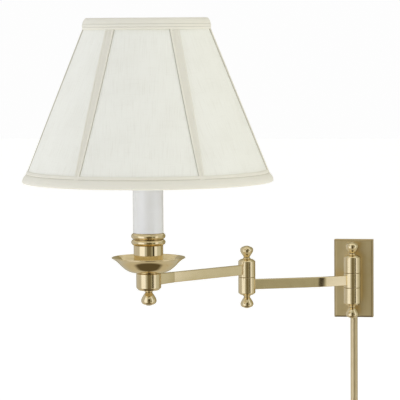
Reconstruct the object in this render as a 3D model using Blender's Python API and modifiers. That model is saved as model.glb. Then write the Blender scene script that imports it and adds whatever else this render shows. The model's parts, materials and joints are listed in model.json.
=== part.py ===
"""Swing arm wall sconce: wall plate, two tube arms on three-finial pivots, candle sleeve, empire shade.

Run with: blender --background --python part.py
Metres, +Z up. The wall is the plane y = 0 and the lamp stands out from it towards -Y. The origin is the
middle of the mounting strap's back face. Heights inside the head are measured from the near arm's centre line.
"""

import math

import bmesh
import bpy
from mathutils import Matrix, Vector

MM = 0.001
GAP = 0.3 * MM
MERGE = 0.00001

# Wall plate and the strap behind it
PLATE_WIDTH = 50.8 * MM
PLATE_HEIGHT = 101.6 * MM
PLATE_DEPTH = 8.0 * MM
PLATE_BEVEL = 2.4 * MM
PLATE_SHEET = 1.5 * MM
STRAP_WIDTH = 38.0 * MM
STRAP_HEIGHT = 97.8 * MM
STRAP_SHEET = 1.5 * MM
STRAP_TAB = 5.5 * MM
WALL_SCREW_HEIGHT = 36.0 * MM
SET_SCREW_SPREAD = 15.0 * MM
CORD_NOTCH_WIDTH = 7.0 * MM

# Pivots
PIVOT_OFFSET = 29.0 * MM
KNUCKLE_RADIUS = 10.9 * MM
KNUCKLE_BORE = 6.6 * MM
KNUCKLE_HEIGHT = 19.05 * MM
SHOULDER_HEIGHT = 4.2 * MM
SHOULDER_RADIUS = 6.2 * MM
ROD_RADIUS = 3.1 * MM
ROD_HOLE = 3.4 * MM
FINIAL_THREAD = 5.0 * MM
FINIAL_RADIUS = 8.3 * MM
FINIAL_HEIGHT = 16.5 * MM
POST_RADIUS = 4.6 * MM
SCREW_RADIUS = 2.0 * MM

# Arms
FAR_ARM_LENGTH = 143.0 * MM
NEAR_ARM_LENGTH = 171.0 * MM
FAR_ARM_ANGLE = math.radians(25.85)
NEAR_ARM_ANGLE = math.radians(53.1)
BAR_HEIGHT = 12.7 * MM
BAR_WIDTH = 6.35 * MM
BAR_WALL = 1.0 * MM
BAR_EDGE = 0.7 * MM
FAR_BEND_DISTANCE = 45.0 * MM
FAR_BEND_ANGLE = math.radians(8.0)
STUB_LENGTH = 43.4 * MM
STUB_ANGLE = math.radians(4.0)
WIRE_RADIUS = 1.6 * MM

# Head
HUB_RADIUS = 15.3 * MM
HUB_TOP = 8.8 * MM
HUB_BOTTOM = -12.2 * MM
HUB_WALL = 3.5 * MM
STUB_SWELL = 1.1
NIPPLE_RADIUS = 5.0 * MM
NIPPLE_HOLE = 5.3 * MM
PAN_RADIUS = 45.2 * MM
PAN_RIM = 27.6 * MM
PAN_SHEET = 1.0 * MM
FERRULE_RADIUS = 18.1 * MM
BEAD_RADIUS = 3.5 * MM
BEAD_RISE = 3.0 * MM
LOWER_BEAD = 46.9 * MM
UPPER_BEAD = 54.3 * MM
SPIGOT_RADIUS = 16.6 * MM
FERRULE_SHEET = 1.1 * MM
SLEEVE_RADIUS = 18.6 * MM
SLEEVE_BOTTOM = 58.3 * MM
SLEEVE_TOP = 116.0 * MM
SOCKET_RADIUS = 16.2 * MM
SOCKET_BOTTOM = 98.5 * MM
SOCKET_SEAM = 112.0 * MM
SOCKET_TOP = 162.0 * MM
SOCKET_SHEET = 0.8 * MM
CORE_RADIUS = 14.8 * MM
CORE_BOTTOM = 113.2 * MM
CORE_TOP = 137.0 * MM
SCREW_SHELL_RADIUS = 14.2 * MM
SCREW_SHELL_TOP = 160.0 * MM
BULB_SEAT = 138.8 * MM
BULB_TOP = 247.0 * MM
BULB_RADIUS = 30.0 * MM
SWITCH_HEIGHT = 126.0 * MM
SWITCH_ANGLE = math.radians(90.0)
HEAD_FINIAL_SCALE = 1.14

# Shade
SHADE_BOTTOM = 120.7 * MM
SHADE_TOP = 320.0 * MM
SHADE_BOTTOM_RADIUS = 151.7 * MM
SHADE_TOP_RADIUS = 71.6 * MM
COVER_SHEET = 0.8 * MM
LINING_SHEET = 0.5 * MM
TRIM_THICKNESS = 3.0 * MM
TRIM_HEIGHT = 13.6 * MM
TAPE_SHEET = 0.9 * MM
TAPE_ROOT = 0.4 * MM
CONE_STEPS = 48
TAPE_TOP_WIDTH = 12.8 * MM
TAPE_BOTTOM_WIDTH = 7.0 * MM
PANELS = 6
RIB_ANGLE = math.radians(12.4)
FRAME_WIRE = 1.4 * MM
FITTER_BOTTOM = 152.0 * MM
FITTER_RING_HEIGHT = 4.0 * MM
FITTER_RADIUS = 19.0 * MM

# Cord cover
COVER_WIDTH = 8.9 * MM
COVER_DEPTH = 9.5 * MM
COVER_WALL = 1.0 * MM
COVER_LENGTH = 304.8 * MM
CLIP_HEIGHT = 14.0 * MM

STEP_UP = KNUCKLE_HEIGHT
HALF_KNUCKLE = KNUCKLE_HEIGHT / 2


# ---------------------------------------------------------------- scene, materials and helpers

def clear_scene():
    for old in list(bpy.data.objects):
        bpy.data.objects.remove(old, do_unlink=True)


def new_collection(name):
    collection = bpy.data.collections.new(name)
    bpy.context.scene.collection.children.link(collection)
    return collection


def make_material(name, colour, roughness, metallic=0.0, alpha=1.0):
    made = bpy.data.materials.new(name)
    made.use_nodes = True
    shader = made.node_tree.nodes["Principled BSDF"]
    shader.inputs["Base Color"].default_value = (*colour, 1.0)
    shader.inputs["Roughness"].default_value = roughness
    shader.inputs["Metallic"].default_value = metallic
    shader.inputs["Alpha"].default_value = alpha
    return made


def new_axis(name, location, turn=0.0, parent=None):
    """An empty that carries the pieces of one moving group."""
    axis = bpy.data.objects.new(name, None)
    axis.empty_display_size = 0.02
    axis.location = location
    axis.rotation_euler = (0.0, 0.0, turn)
    axis.parent = parent
    PARTS.objects.link(axis)
    return axis


def place(name, mesh, material, parent=None, at=(0.0, 0.0, 0.0), turn=0.0, smooth=True):
    """Links a mesh as one named piece of the lamp."""
    piece = bpy.data.objects.new(name, mesh)
    PARTS.objects.link(piece)
    piece.parent = parent
    piece.location = at
    piece.rotation_euler = (0.0, 0.0, turn)
    mesh.materials.append(material)
    if smooth:
        mesh.shade_smooth()
    return piece


def place_cutter(name, mesh, parent=None, at=(0.0, 0.0, 0.0), turn=0.0):
    """Links a mesh as a hidden cutting shape."""
    cutter = bpy.data.objects.new(name, mesh)
    CUTTERS.objects.link(cutter)
    cutter.parent = parent
    cutter.location = at
    cutter.rotation_euler = (0.0, 0.0, turn)
    cutter.hide_render = True
    cutter.display_type = "WIRE"
    return cutter


def combine(piece, other, operation="DIFFERENCE"):
    boolean = piece.modifiers.new(other.name, "BOOLEAN")
    boolean.operation = operation
    boolean.solver = "EXACT"
    boolean.object = other
    return piece


def bevel(piece, width, segments=1):
    rounding = piece.modifiers.new("edges", "BEVEL")
    rounding.width = width
    rounding.segments = segments
    rounding.limit_method = "ANGLE"
    rounding.angle_limit = math.radians(40)
    return piece


def solidify(piece, thickness):
    """Thickens an open surface inwards, away from its normals."""
    shell = piece.modifiers.new("thickness", "SOLIDIFY")
    shell.thickness = thickness
    shell.offset = -1.0
    shell.use_even_offset = True
    return piece


def arc(centre_r, centre_z, radius, start, end, points):
    """Points on an arc in a profile, from start to end degrees, counted from +r towards +z."""
    turns = [math.radians(start + (end - start) * i / (points - 1)) for i in range(points)]
    return [(centre_r + radius * math.cos(a), centre_z + radius * math.sin(a)) for a in turns]


def mirrored(profile):
    """The same profile upside down, still running down its outer side."""
    return [(r, -z) for r, z in reversed(profile)]


def profile_mesh(name, profile, closed=False):
    mesh = bpy.data.meshes.new(name)
    edges = [(i, i + 1) for i in range(len(profile) - 1)]
    if closed:
        edges.append((len(profile) - 1, 0))
    mesh.from_pydata([(r, 0.0, z) for r, z in profile], edges, [])
    return mesh


def add_screw(piece, steps):
    screw = piece.modifiers.new("turning", "SCREW")
    screw.axis = "Z"
    screw.steps = steps
    screw.render_steps = steps
    screw.use_merge_vertices = True
    screw.merge_threshold = MERGE
    screw.use_smooth_shade = True
    return piece


def turned(name, profile, material, parent=None, at=(0.0, 0.0, 0.0), steps=24, closed=False):
    """A lathe-turned piece; a closed profile is a ring, an open one starts and ends on the axis."""
    piece = place(name, profile_mesh(name, profile, closed), material, parent, at, smooth=False)
    return add_screw(piece, steps)


def spun_shell(name, profile, thickness, material, parent=None, at=(0.0, 0.0, 0.0), steps=32):
    """A thin spun sheet whose outer surface is the profile."""
    return solidify(turned(name, profile, material, parent, at, steps), thickness)


def ring_profile(outer, inner, top, bottom):
    return [(inner, top), (outer, top), (outer, bottom), (inner, bottom)]


def box_mesh(name, size):
    mesh = bpy.data.meshes.new(name)
    build = bmesh.new()
    bmesh.ops.create_cube(build, size=1.0)
    bmesh.ops.scale(build, vec=size, verts=build.verts)
    build.to_mesh(mesh)
    build.free()
    return mesh


def rod_mesh(name, radius, start, end, segments=24):
    """A cylinder between two points."""
    start, end = Vector(start), Vector(end)
    along = end - start
    turn = along.to_track_quat("Z", "Y").to_matrix().to_4x4()
    mesh = bpy.data.meshes.new(name)
    build = bmesh.new()
    bmesh.ops.create_cone(build, cap_ends=True, segments=segments, radius1=radius, radius2=radius,
                          depth=along.length, matrix=Matrix.Translation((start + end) / 2) @ turn)
    build.to_mesh(mesh)
    build.free()
    return mesh


def curve_to_mesh(name, curve):
    """Evaluates a curve and closes its loose caps."""
    holder = bpy.data.objects.new(name + "_outline", curve)
    bpy.context.scene.collection.objects.link(holder)
    bpy.context.view_layer.update()
    mesh = bpy.data.meshes.new_from_object(holder.evaluated_get(bpy.context.evaluated_depsgraph_get()))
    build = bmesh.new()
    build.from_mesh(mesh)
    bmesh.ops.remove_doubles(build, verts=build.verts, dist=MERGE)
    build.to_mesh(mesh)
    build.free()
    bpy.data.objects.remove(holder, do_unlink=True)
    mesh.name = name
    return mesh


def plate_mesh(name, outline, thickness):
    """A flat outline in the XY plane, thick along Z and centred on it."""
    curve = bpy.data.curves.new(name, "CURVE")
    curve.dimensions = "2D"
    curve.fill_mode = "BOTH"
    curve.extrude = thickness / 2
    spline = curve.splines.new("POLY")
    spline.points.add(len(outline) - 1)
    for point, (x, y) in zip(spline.points, outline):
        point.co = (x, y, 0.0, 1.0)
    spline.use_cyclic_u = True
    return curve_to_mesh(name, curve)


def wire_mesh(name, points, radius, cyclic=False, resolution=2):
    """A round wire along points."""
    curve = bpy.data.curves.new(name, "CURVE")
    curve.dimensions = "3D"
    curve.bevel_depth = radius
    curve.bevel_resolution = resolution
    curve.use_fill_caps = not cyclic
    spline = curve.splines.new("POLY")
    spline.points.add(len(points) - 1)
    for point, place_at in zip(spline.points, points):
        point.co = (*place_at, 1.0)
    spline.use_cyclic_u = cyclic
    return curve_to_mesh(name, curve)


def ribbon_outline(path, half_width):
    """The closed outline of a bar of constant width along a path in the XY plane."""
    left, right = [], []
    for i, point in enumerate(path):
        before = Vector(path[max(i - 1, 0)])
        after = Vector(path[min(i + 1, len(path) - 1)])
        along = (after - before).normalized()
        side = Vector((-along.y, along.x)) * half_width
        left.append(Vector(point) + side)
        right.append(Vector(point) - side)
    return [tuple(p) for p in left] + [tuple(p) for p in reversed(right)]


def bent_path(start, corner, end, reach, points=5):
    """Start to end with the corner rounded off over a reach on both sides."""
    start, corner, end = Vector(start), Vector(corner), Vector(end)
    first = corner + (start - corner).normalized() * reach
    last = corner + (end - corner).normalized() * reach
    middle = []
    for i in range(points):
        t = i / (points - 1)
        middle.append(first * (1 - t) ** 2 + corner * 2 * t * (1 - t) + last * t ** 2)
    return [tuple(p) for p in [start] + middle + [end]]


def fasten(name, head_radius, head, shank_radius, shank, material, parent, at, facing):
    """A round-headed screw along the Z axis, its head up, then turned to face a direction."""
    profile = [(0.0, head), (head_radius * 0.6, head * 0.85), (head_radius, head * 0.35),
               (head_radius, 0.0), (shank_radius, 0.0), (shank_radius, -shank), (0.0, -shank)]
    screw = turned(name, profile, material, parent, at, 14)
    screw.rotation_euler = Vector(facing).to_track_quat("Z", "Y").to_euler()
    return screw


# ---------------------------------------------------------------- wall side

def make_back_plate():
    build = bmesh.new()
    bmesh.ops.create_cube(build, size=1.0)
    bmesh.ops.scale(build, vec=(PLATE_WIDTH, PLATE_DEPTH, PLATE_HEIGHT), verts=build.verts)
    back = [f for f in build.faces if f.normal.y > 0.5]
    bmesh.ops.delete(build, geom=back, context="FACES_ONLY")
    front = [e for e in build.edges if all(v.co.y < 0 for v in e.verts)]
    bmesh.ops.bevel(build, geom=front, offset=PLATE_BEVEL, segments=3, profile=0.6, affect="EDGES")
    mesh = bpy.data.meshes.new("back_plate")
    build.to_mesh(mesh)
    build.free()
    plate = place("back_plate", mesh, BRASS_PLATE, at=(0.0, -PLATE_DEPTH / 2, 0.0), smooth=False)
    solidify(plate, PLATE_SHEET)
    for name, height in (("upper", STEP_UP), ("lower", -STEP_UP)):
        hole = rod_mesh("cut_plate_" + name, SCREW_RADIUS + GAP, (0, -2 * PLATE_DEPTH, height),
                        (0, -PLATE_DEPTH / 2, height), 16)
        combine(plate, place_cutter("cut_plate_" + name, hole))
    for name, x in (("left", -SET_SCREW_SPREAD), ("right", SET_SCREW_SPREAD)):
        hole = rod_mesh("cut_set_" + name, SCREW_RADIUS, (x, -PLATE_DEPTH / 2, -PLATE_HEIGHT / 2 - 2 * MM),
                        (x, -PLATE_DEPTH / 2, -PLATE_HEIGHT / 2 + 2.5 * MM), 16)
        combine(plate, place_cutter("cut_set_" + name, hole))
    notch = box_mesh("cut_cord_notch", (CORD_NOTCH_WIDTH, 10 * MM, 6 * MM))
    combine(plate, place_cutter("cut_cord_notch", notch, at=(0, -0.5 * MM, -PLATE_HEIGHT / 2)))


def make_mounting_strap():
    h, tab, t = STRAP_HEIGHT / 2, STRAP_TAB, STRAP_SHEET
    outline = [(0, h), (0, -h), (-tab, -h), (-tab, -h + t), (-t, -h + t), (-t, h - t), (-tab, h - t), (-tab, h)]
    strap = place("mounting_strap", plate_mesh("mounting_strap", outline, STRAP_WIDTH), STEEL, smooth=False)
    strap.rotation_euler = (math.radians(90), 0.0, math.radians(90))
    for name, height in (("upper", WALL_SCREW_HEIGHT), ("lower", -WALL_SCREW_HEIGHT)):
        hole = rod_mesh("cut_strap_" + name, 2.6 * MM, (0, -4 * MM, height), (0, 2 * MM, height), 16)
        combine(strap, place_cutter("cut_strap_" + name, hole))
    for name, x in (("left", -SET_SCREW_SPREAD), ("right", SET_SCREW_SPREAD)):
        hole = rod_mesh("cut_tab_" + name, SCREW_RADIUS - 0.2 * MM, (x, -PLATE_DEPTH / 2, -h - 2 * MM),
                        (x, -PLATE_DEPTH / 2, -h + 2 * t), 16)
        combine(strap, place_cutter("cut_tab_" + name, hole))


def make_wall_fasteners():
    for name, height in (("upper", STEP_UP), ("lower", -STEP_UP)):
        seat = -PLATE_DEPTH + PLATE_SHEET + GAP
        reach = PIVOT_OFFSET - KNUCKLE_RADIUS + 2.4 * MM + seat
        fasten("post_screw_" + name, 3.8 * MM, 2.2 * MM, SCREW_RADIUS, reach, STEEL, None,
               (0, seat, height), (0, 1, 0))
    for name, height in (("upper", WALL_SCREW_HEIGHT), ("lower", -WALL_SCREW_HEIGHT)):
        fasten("wall_screw_" + name, 4.3 * MM, 2.3 * MM, 2.2 * MM, STRAP_SHEET + GAP, STEEL, None,
               (0, -STRAP_SHEET - GAP, height), (0, -1, 0))
    for name, x in (("left", -SET_SCREW_SPREAD), ("right", SET_SCREW_SPREAD)):
        bottom = -PLATE_HEIGHT / 2
        place("set_screw_" + name, rod_mesh("set_screw_" + name, SCREW_RADIUS - 0.5 * MM,
              (x, -PLATE_DEPTH / 2, bottom + 0.2 * MM), (x, -PLATE_DEPTH / 2, bottom + 5 * MM), 12), STEEL)


def make_posts():
    """Two turned posts carry the fixed knuckles; their ends are saddled to the round knuckles."""
    front = -PLATE_DEPTH - GAP
    length = PIVOT_OFFSET + front - KNUCKLE_RADIUS + 3 * MM
    for name, height in (("upper", STEP_UP), ("lower", -STEP_UP)):
        profile = [(SCREW_RADIUS + GAP, length), (POST_RADIUS, length), (POST_RADIUS, 2.2 * MM),
                   (POST_RADIUS + 1.6 * MM, 1.4 * MM), (POST_RADIUS + 1.6 * MM, 0), (SCREW_RADIUS + GAP, 0)]
        post = turned("post_" + name, profile, BRASS_SATIN, None, (0, front, height), 20, closed=True)
        post.rotation_euler = (math.radians(90), 0, 0)
        saddle = rod_mesh("cut_saddle_" + name, KNUCKLE_RADIUS + GAP, (0, -PIVOT_OFFSET, height - 10 * MM),
                          (0, -PIVOT_OFFSET, height + 10 * MM), 48)
        combine(post, place_cutter("cut_saddle_" + name, saddle))


def end_knuckle_profile():
    """An end knuckle seen from its middle: domed shoulder above, open bore below."""
    h, shoulder = HALF_KNUCKLE, HALF_KNUCKLE + SHOULDER_HEIGHT
    dome = [(SHOULDER_RADIUS, shoulder), (7.8 * MM, shoulder - 0.8 * MM), (9.4 * MM, shoulder - 1.8 * MM),
            (KNUCKLE_RADIUS, shoulder - 2.9 * MM)]
    return ([(ROD_HOLE, shoulder)] + dome
            + [(KNUCKLE_RADIUS, -h + GAP / 2), (KNUCKLE_BORE, -h + GAP / 2), (KNUCKLE_BORE, h - 1 * MM),
               (ROD_HOLE, h - 1 * MM)])


def cut_window(knuckle, name, parent, at, turn):
    """The slot through which the lead passes from the bar into the knuckle."""
    reach = 8 * MM
    slot = box_mesh("cut_window_" + name, (reach, 4.2 * MM, 8 * MM))
    offset = Vector((math.cos(turn), math.sin(turn), 0)) * (KNUCKLE_BORE - 1 * MM + reach / 2)
    combine(knuckle, place_cutter("cut_window_" + name, slot, parent, Vector(at) + offset, turn))


def finial_outside(radius, height):
    """An inverted-pear knob with a button tip above and a bead at its neck."""
    body = [(0.0, 1.0), (0.3, 0.98), (0.45, 0.94), (0.84, 0.86), (1.0, 0.69), (0.92, 0.54), (0.64, 0.27),
            (0.48, 0.13), (0.56, 0.07), (0.54, 0.02)]
    return [(r * radius, z * height) for r, z in body]


def make_finial(name, parent, at, pointing_up):
    outside = finial_outside(FINIAL_RADIUS, FINIAL_HEIGHT)
    bore, depth = ROD_RADIUS + 0.25 * MM, FINIAL_THREAD + GAP
    profile = outside + [(bore, outside[-1][1]), (bore, depth), (0.0, depth)]
    turned(name, profile if pointing_up else mirrored(profile), BRASS_POLISHED, parent, at, 18)


def make_pivot(prefix, parent, at, low, high):
    """The rod through a stack of knuckles, from low to high, and the finial screwed on each end."""
    x, y = at
    top = high + SHOULDER_HEIGHT
    bottom = low - SHOULDER_HEIGHT
    name = prefix + "_pivot_rod"
    rod = rod_mesh(name, ROD_RADIUS, (0, 0, bottom - FINIAL_THREAD), (0, 0, top + FINIAL_THREAD))
    place(name, rod, STEEL, parent, (x, y, 0))
    make_finial(prefix + "_finial_top", parent, (x, y, top + GAP / 2), True)
    make_finial(prefix + "_finial_bottom", parent, (x, y, bottom - GAP / 2), False)


def make_bush(name, parent, at):
    """A nylon bush across the seam of two knuckles keeps both centred on the rod."""
    profile = ring_profile(KNUCKLE_BORE - GAP, ROD_HOLE, 1.2 * MM, -1.2 * MM)
    turned(name, profile, NYLON, parent, at, 20, closed=True)


def make_wall_pivot():
    end = end_knuckle_profile()
    for name, height, profile in (("upper", STEP_UP, end), ("lower", -STEP_UP, mirrored(end))):
        knuckle = turned("wall_knuckle_" + name, profile, BRASS_SATIN, None,
                         (0, -PIVOT_OFFSET, height), 24, closed=True)
        hole = rod_mesh("cut_knuckle_" + name, SCREW_RADIUS + GAP, (0, -PIVOT_OFFSET + 7.4 * MM, height),
                        (0, -PIVOT_OFFSET + 14 * MM, height), 16)
        combine(knuckle, place_cutter("cut_knuckle_" + name, hole))
    axis = new_axis("wall_bracket_axis", (0, -PIVOT_OFFSET, 0))
    make_pivot("wall", axis, (0, 0), -1.5 * KNUCKLE_HEIGHT, 1.5 * KNUCKLE_HEIGHT)
    make_bush("wall_bush_upper", axis, (0, 0, HALF_KNUCKLE))
    make_bush("wall_bush_lower", axis, (0, 0, -HALF_KNUCKLE))


def make_cord_cover():
    """A half-round channel, open at its back, that stands on the wall below the plate."""
    half, depth, wall = COVER_WIDTH / 2, COVER_DEPTH, COVER_WALL
    centre = -(depth - half)
    top = -PLATE_HEIGHT / 2 - GAP
    outer = [(x, y) for x, y in arc(0, centre, half, 0, -180, 13)]
    inner = [(x, y) for x, y in arc(0, centre, half - wall, -180, 0, 11)]
    outline = [(half, 0)] + outer + [(-half, 0), (-half + wall, 0)] + inner + [(half - wall, 0)]
    place("cord_cover", plate_mesh("cord_cover", outline, COVER_LENGTH), BRASS_SATIN,
          at=(0, 0, top - COVER_LENGTH / 2), smooth=False)
    reach = half - wall - GAP
    sheet = 0.7 * MM
    legs = 4.5 * MM
    clip = [(-reach, 0), (-reach, -legs), (-reach + sheet, -legs), (-reach + sheet, -sheet),
            (reach - sheet, -sheet), (reach - sheet, -legs), (reach, -legs), (reach, 0)]
    for name, drop in (("upper", 0.12), ("lower", 0.88)):
        place("cover_clip_" + name, plate_mesh("cover_clip_" + name, clip, CLIP_HEIGHT), STEEL,
              at=(0, 0, top - COVER_LENGTH * drop), smooth=False)


# ---------------------------------------------------------------- arms

def far_arm_path():
    """Centre line of the far bar in its arm's frame: it leaves the wall pivot at a small angle, then bends."""
    corner = (FAR_BEND_DISTANCE * math.cos(FAR_BEND_ANGLE), FAR_BEND_DISTANCE * math.sin(FAR_BEND_ANGLE))
    return bent_path((0.0, 0.0), corner, (FAR_ARM_LENGTH, 0.0), 7 * MM)


def stub_end():
    """Where the near bar meets the head's stub, in the near arm's frame."""
    return (NEAR_ARM_LENGTH - STUB_LENGTH * math.cos(STUB_ANGLE), -STUB_LENGTH * math.sin(STUB_ANGLE))


def trimmed(path, start, end):
    """The path with a length taken off each end."""
    first, second = Vector(path[0]), Vector(path[1])
    last, fourth = Vector(path[-1]), Vector(path[-2])
    new_first = first + (second - first).normalized() * start
    new_last = last + (fourth - last).normalized() * end
    return [tuple(new_first)] + path[1:-1] + [tuple(new_last)]


def make_bar(name, parent, path, wire_ends):
    """A rectangular tube along a path, and the lead inside it."""
    bar = place(name, plate_mesh(name, ribbon_outline(path, BAR_WIDTH / 2), BAR_HEIGHT), BRASS_SATIN,
                parent, smooth=False)
    bevel(bar, BAR_EDGE, 2)
    hollow_path = trimmed(path, -5 * MM, -5 * MM)
    hollow = plate_mesh("cut_hollow_" + name, ribbon_outline(hollow_path, BAR_WIDTH / 2 - BAR_WALL),
                        BAR_HEIGHT - 2 * BAR_WALL)
    combine(bar, place_cutter("cut_hollow_" + name, hollow, parent))
    lead = [(x, y, 0.0) for x, y in trimmed(path, *wire_ends)]
    place(name + "_lead", wire_mesh(name + "_lead", lead, WIRE_RADIUS), WIRE, parent)
    return bar


def saddle_bar(bar, name, parent, at):
    """Shapes a bar's end to the round knuckle it is brazed to."""
    x, y = at
    tall = BAR_HEIGHT
    cylinder = rod_mesh("cut_end_" + name, KNUCKLE_RADIUS + GAP, (x, y, -tall), (x, y, tall), 48)
    combine(bar, place_cutter("cut_end_" + name, cylinder, parent))


def make_far_arm():
    arm = new_axis("far_arm_axis", (0, -PIVOT_OFFSET, 0), math.pi + FAR_ARM_ANGLE)
    h = HALF_KNUCKLE - GAP / 2
    hub = turned("far_arm_wall_hub", ring_profile(KNUCKLE_RADIUS, KNUCKLE_BORE, h, -h), BRASS_SATIN,
                 arm, (0, 0, 0), 24, closed=True)
    cut_window(hub, "wall_hub", arm, (0, 0, 0), FAR_BEND_ANGLE)
    elbow = turned("elbow_knuckle_lower", mirrored(end_knuckle_profile()), BRASS_SATIN, arm,
                   (FAR_ARM_LENGTH, 0, 0), 24, closed=True)
    path = far_arm_path()
    corner, end = Vector(path[-2]), Vector(path[-1])
    back = corner - end
    cut_window(elbow, "elbow_lower", arm, (FAR_ARM_LENGTH, 0, 0), math.atan2(back.y, back.x))
    bar = make_bar("far_arm_bar", arm, path, (7 * MM, 7 * MM))
    saddle_bar(bar, "far_wall", arm, (0, 0))
    saddle_bar(bar, "far_elbow", arm, (FAR_ARM_LENGTH, 0))
    make_pivot("elbow", arm, (FAR_ARM_LENGTH, 0), -HALF_KNUCKLE, HALF_KNUCKLE + KNUCKLE_HEIGHT)
    make_bush("elbow_bush", arm, (FAR_ARM_LENGTH, 0, HALF_KNUCKLE))
    return arm


def make_near_arm(far_arm):
    arm = new_axis("near_arm_axis", (FAR_ARM_LENGTH, 0, STEP_UP), NEAR_ARM_ANGLE - FAR_ARM_ANGLE, far_arm)
    knuckle = turned("elbow_knuckle_upper", end_knuckle_profile(), BRASS_SATIN, arm, (0, 0, 0), 24, closed=True)
    end = Vector(stub_end())
    direction = math.atan2(end.y, end.x)
    cut_window(knuckle, "elbow_upper", arm, (0, 0, 0), direction)
    path = [(0.0, 0.0), tuple(end - end.normalized() * GAP)]
    bar = make_bar("near_arm_bar", arm, path, (7 * MM, 3 * MM))
    saddle_bar(bar, "near_elbow", arm, (0, 0))
    return arm


# ---------------------------------------------------------------- head

def make_head_hub(head):
    """The cast hub under the pan, hollow for the lead, with the tapered stub that the near bar butts on."""
    profile = [(NIPPLE_HOLE, HUB_TOP), (HUB_RADIUS - 0.8 * MM, HUB_TOP), (HUB_RADIUS, HUB_TOP - 0.8 * MM),
               (HUB_RADIUS, HUB_BOTTOM + 3.0 * MM), (HUB_RADIUS - 3.0 * MM, HUB_BOTTOM), (3.6 * MM, HUB_BOTTOM),
               (3.6 * MM, HUB_BOTTOM + 2.6 * MM), (HUB_RADIUS - HUB_WALL - 1.4 * MM, HUB_BOTTOM + 2.6 * MM),
               (HUB_RADIUS - HUB_WALL, HUB_BOTTOM + 4.2 * MM), (HUB_RADIUS - HUB_WALL, HUB_TOP - 2.6 * MM),
               (NIPPLE_HOLE, HUB_TOP - 2.6 * MM)]
    hub = turned("head_hub", profile, BRASS_SATIN, head, (0, 0, 0), 28, closed=True)
    inside = HUB_RADIUS - HUB_WALL / 2
    size = (STUB_LENGTH - inside, BAR_WIDTH + 0.2 * MM, BAR_HEIGHT + 0.1 * MM)
    build = bmesh.new()
    bmesh.ops.create_cube(build, size=1.0)
    bmesh.ops.scale(build, vec=size, verts=build.verts)
    for corner in build.verts:
        if corner.co.x > 0:
            corner.co.z *= STUB_SWELL
    bmesh.ops.bevel(build, geom=build.edges[:], offset=BAR_EDGE, segments=2, profile=0.5, affect="EDGES")
    stub_mesh = bpy.data.meshes.new("cut_stub")
    build.to_mesh(stub_mesh)
    build.free()
    middle = (STUB_LENGTH + inside) / 2
    towards_elbow = math.pi + STUB_ANGLE
    stub_at = (middle * math.cos(towards_elbow), middle * math.sin(towards_elbow), 0)
    stub = place_cutter("join_stub", stub_mesh, head, stub_at, STUB_ANGLE)
    combine(hub, stub, "UNION")
    way = Vector((math.cos(towards_elbow), math.sin(towards_elbow), 0))
    bore = rod_mesh("cut_stub_bore", WIRE_RADIUS + 0.6 * MM, way * 9 * MM, way * (STUB_LENGTH + 3 * MM), 14)
    combine(hub, place_cutter("cut_stub_bore", bore, head))
    lead = [tuple(way * reach) for reach in (9.5 * MM, STUB_LENGTH - 1 * MM)]
    place("head_lead", wire_mesh("head_lead", lead, WIRE_RADIUS), WIRE, head)


def hex_nut(name, across, thickness, hole, parent, at):
    mesh = rod_mesh(name, across, (0, 0, 0), (0, 0, thickness), 6)
    nut = place(name, mesh, STEEL, parent, at, smooth=False)
    bore = rod_mesh("cut_" + name, hole, (0, 0, -thickness), (0, 0, 2 * thickness), 16)
    combine(nut, place_cutter("cut_" + name, bore, parent, at))


def make_head_stem(head):
    stem = ring_profile(NIPPLE_RADIUS, 3.6 * MM, SOCKET_BOTTOM + 3 * MM, HUB_BOTTOM + 3.2 * MM)
    turned("head_nipple", stem, STEEL, head, (0, 0, 0), 16, closed=True)
    hex_nut("hub_nut", 8.6 * MM, 2.4 * MM, NIPPLE_HOLE, head, (0, 0, HUB_TOP - 2.6 * MM - GAP - 2.4 * MM))
    hex_nut("ferrule_nut", 9.4 * MM, 3.0 * MM, NIPPLE_HOLE, head, (0, 0, HUB_TOP + 3.9 * MM))
    radius, height = FINIAL_RADIUS * HEAD_FINIAL_SCALE, FINIAL_HEIGHT * HEAD_FINIAL_SCALE
    knob = finial_outside(radius, height)
    stud = [(3.2 * MM, 0.02 * height), (3.2 * MM, -9 * MM), (0.0, -9 * MM)]
    turned("head_finial", mirrored(knob + stud), BRASS_POLISHED, head, (0, 0, HUB_BOTTOM - GAP), 24)


def pan_profile():
    """Flared lip running into a shallow bowl, rim first."""
    floor = HUB_TOP + GAP
    shape = [(1.0, 0.0), (0.87, 0.215), (0.76, 0.5), (0.645, 0.74), (0.52, 0.91), (0.37, 0.985), (0.24, 1.0)]
    points = [(r * PAN_RADIUS, PAN_RIM - drop * (PAN_RIM - floor)) for r, drop in shape]
    return points + [(NIPPLE_HOLE, floor)]


def ferrule_profile():
    """A plain cup with two beads and a spigot that the sleeve sits over."""
    centre = FERRULE_RADIUS + BEAD_RISE - BEAD_RADIUS
    seat = SLEEVE_BOTTOM - GAP
    upper = arc(centre, UPPER_BEAD, BEAD_RADIUS, 75, -78, 5)
    lower = arc(centre, LOWER_BEAD, BEAD_RADIUS, 78, -75, 5)
    spigot = [(SPIGOT_RADIUS, SLEEVE_BOTTOM + 3.7 * MM), (SPIGOT_RADIUS, seat),
              (SPIGOT_RADIUS + 1.2 * MM, seat)]
    floor = HUB_TOP + 2 * GAP + PAN_SHEET + 0.8 * MM
    cup = [(FERRULE_RADIUS, LOWER_BEAD - BEAD_RADIUS - 0.4 * MM), (FERRULE_RADIUS, floor), (NIPPLE_HOLE, floor)]
    return spigot + upper + lower + cup


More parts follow.
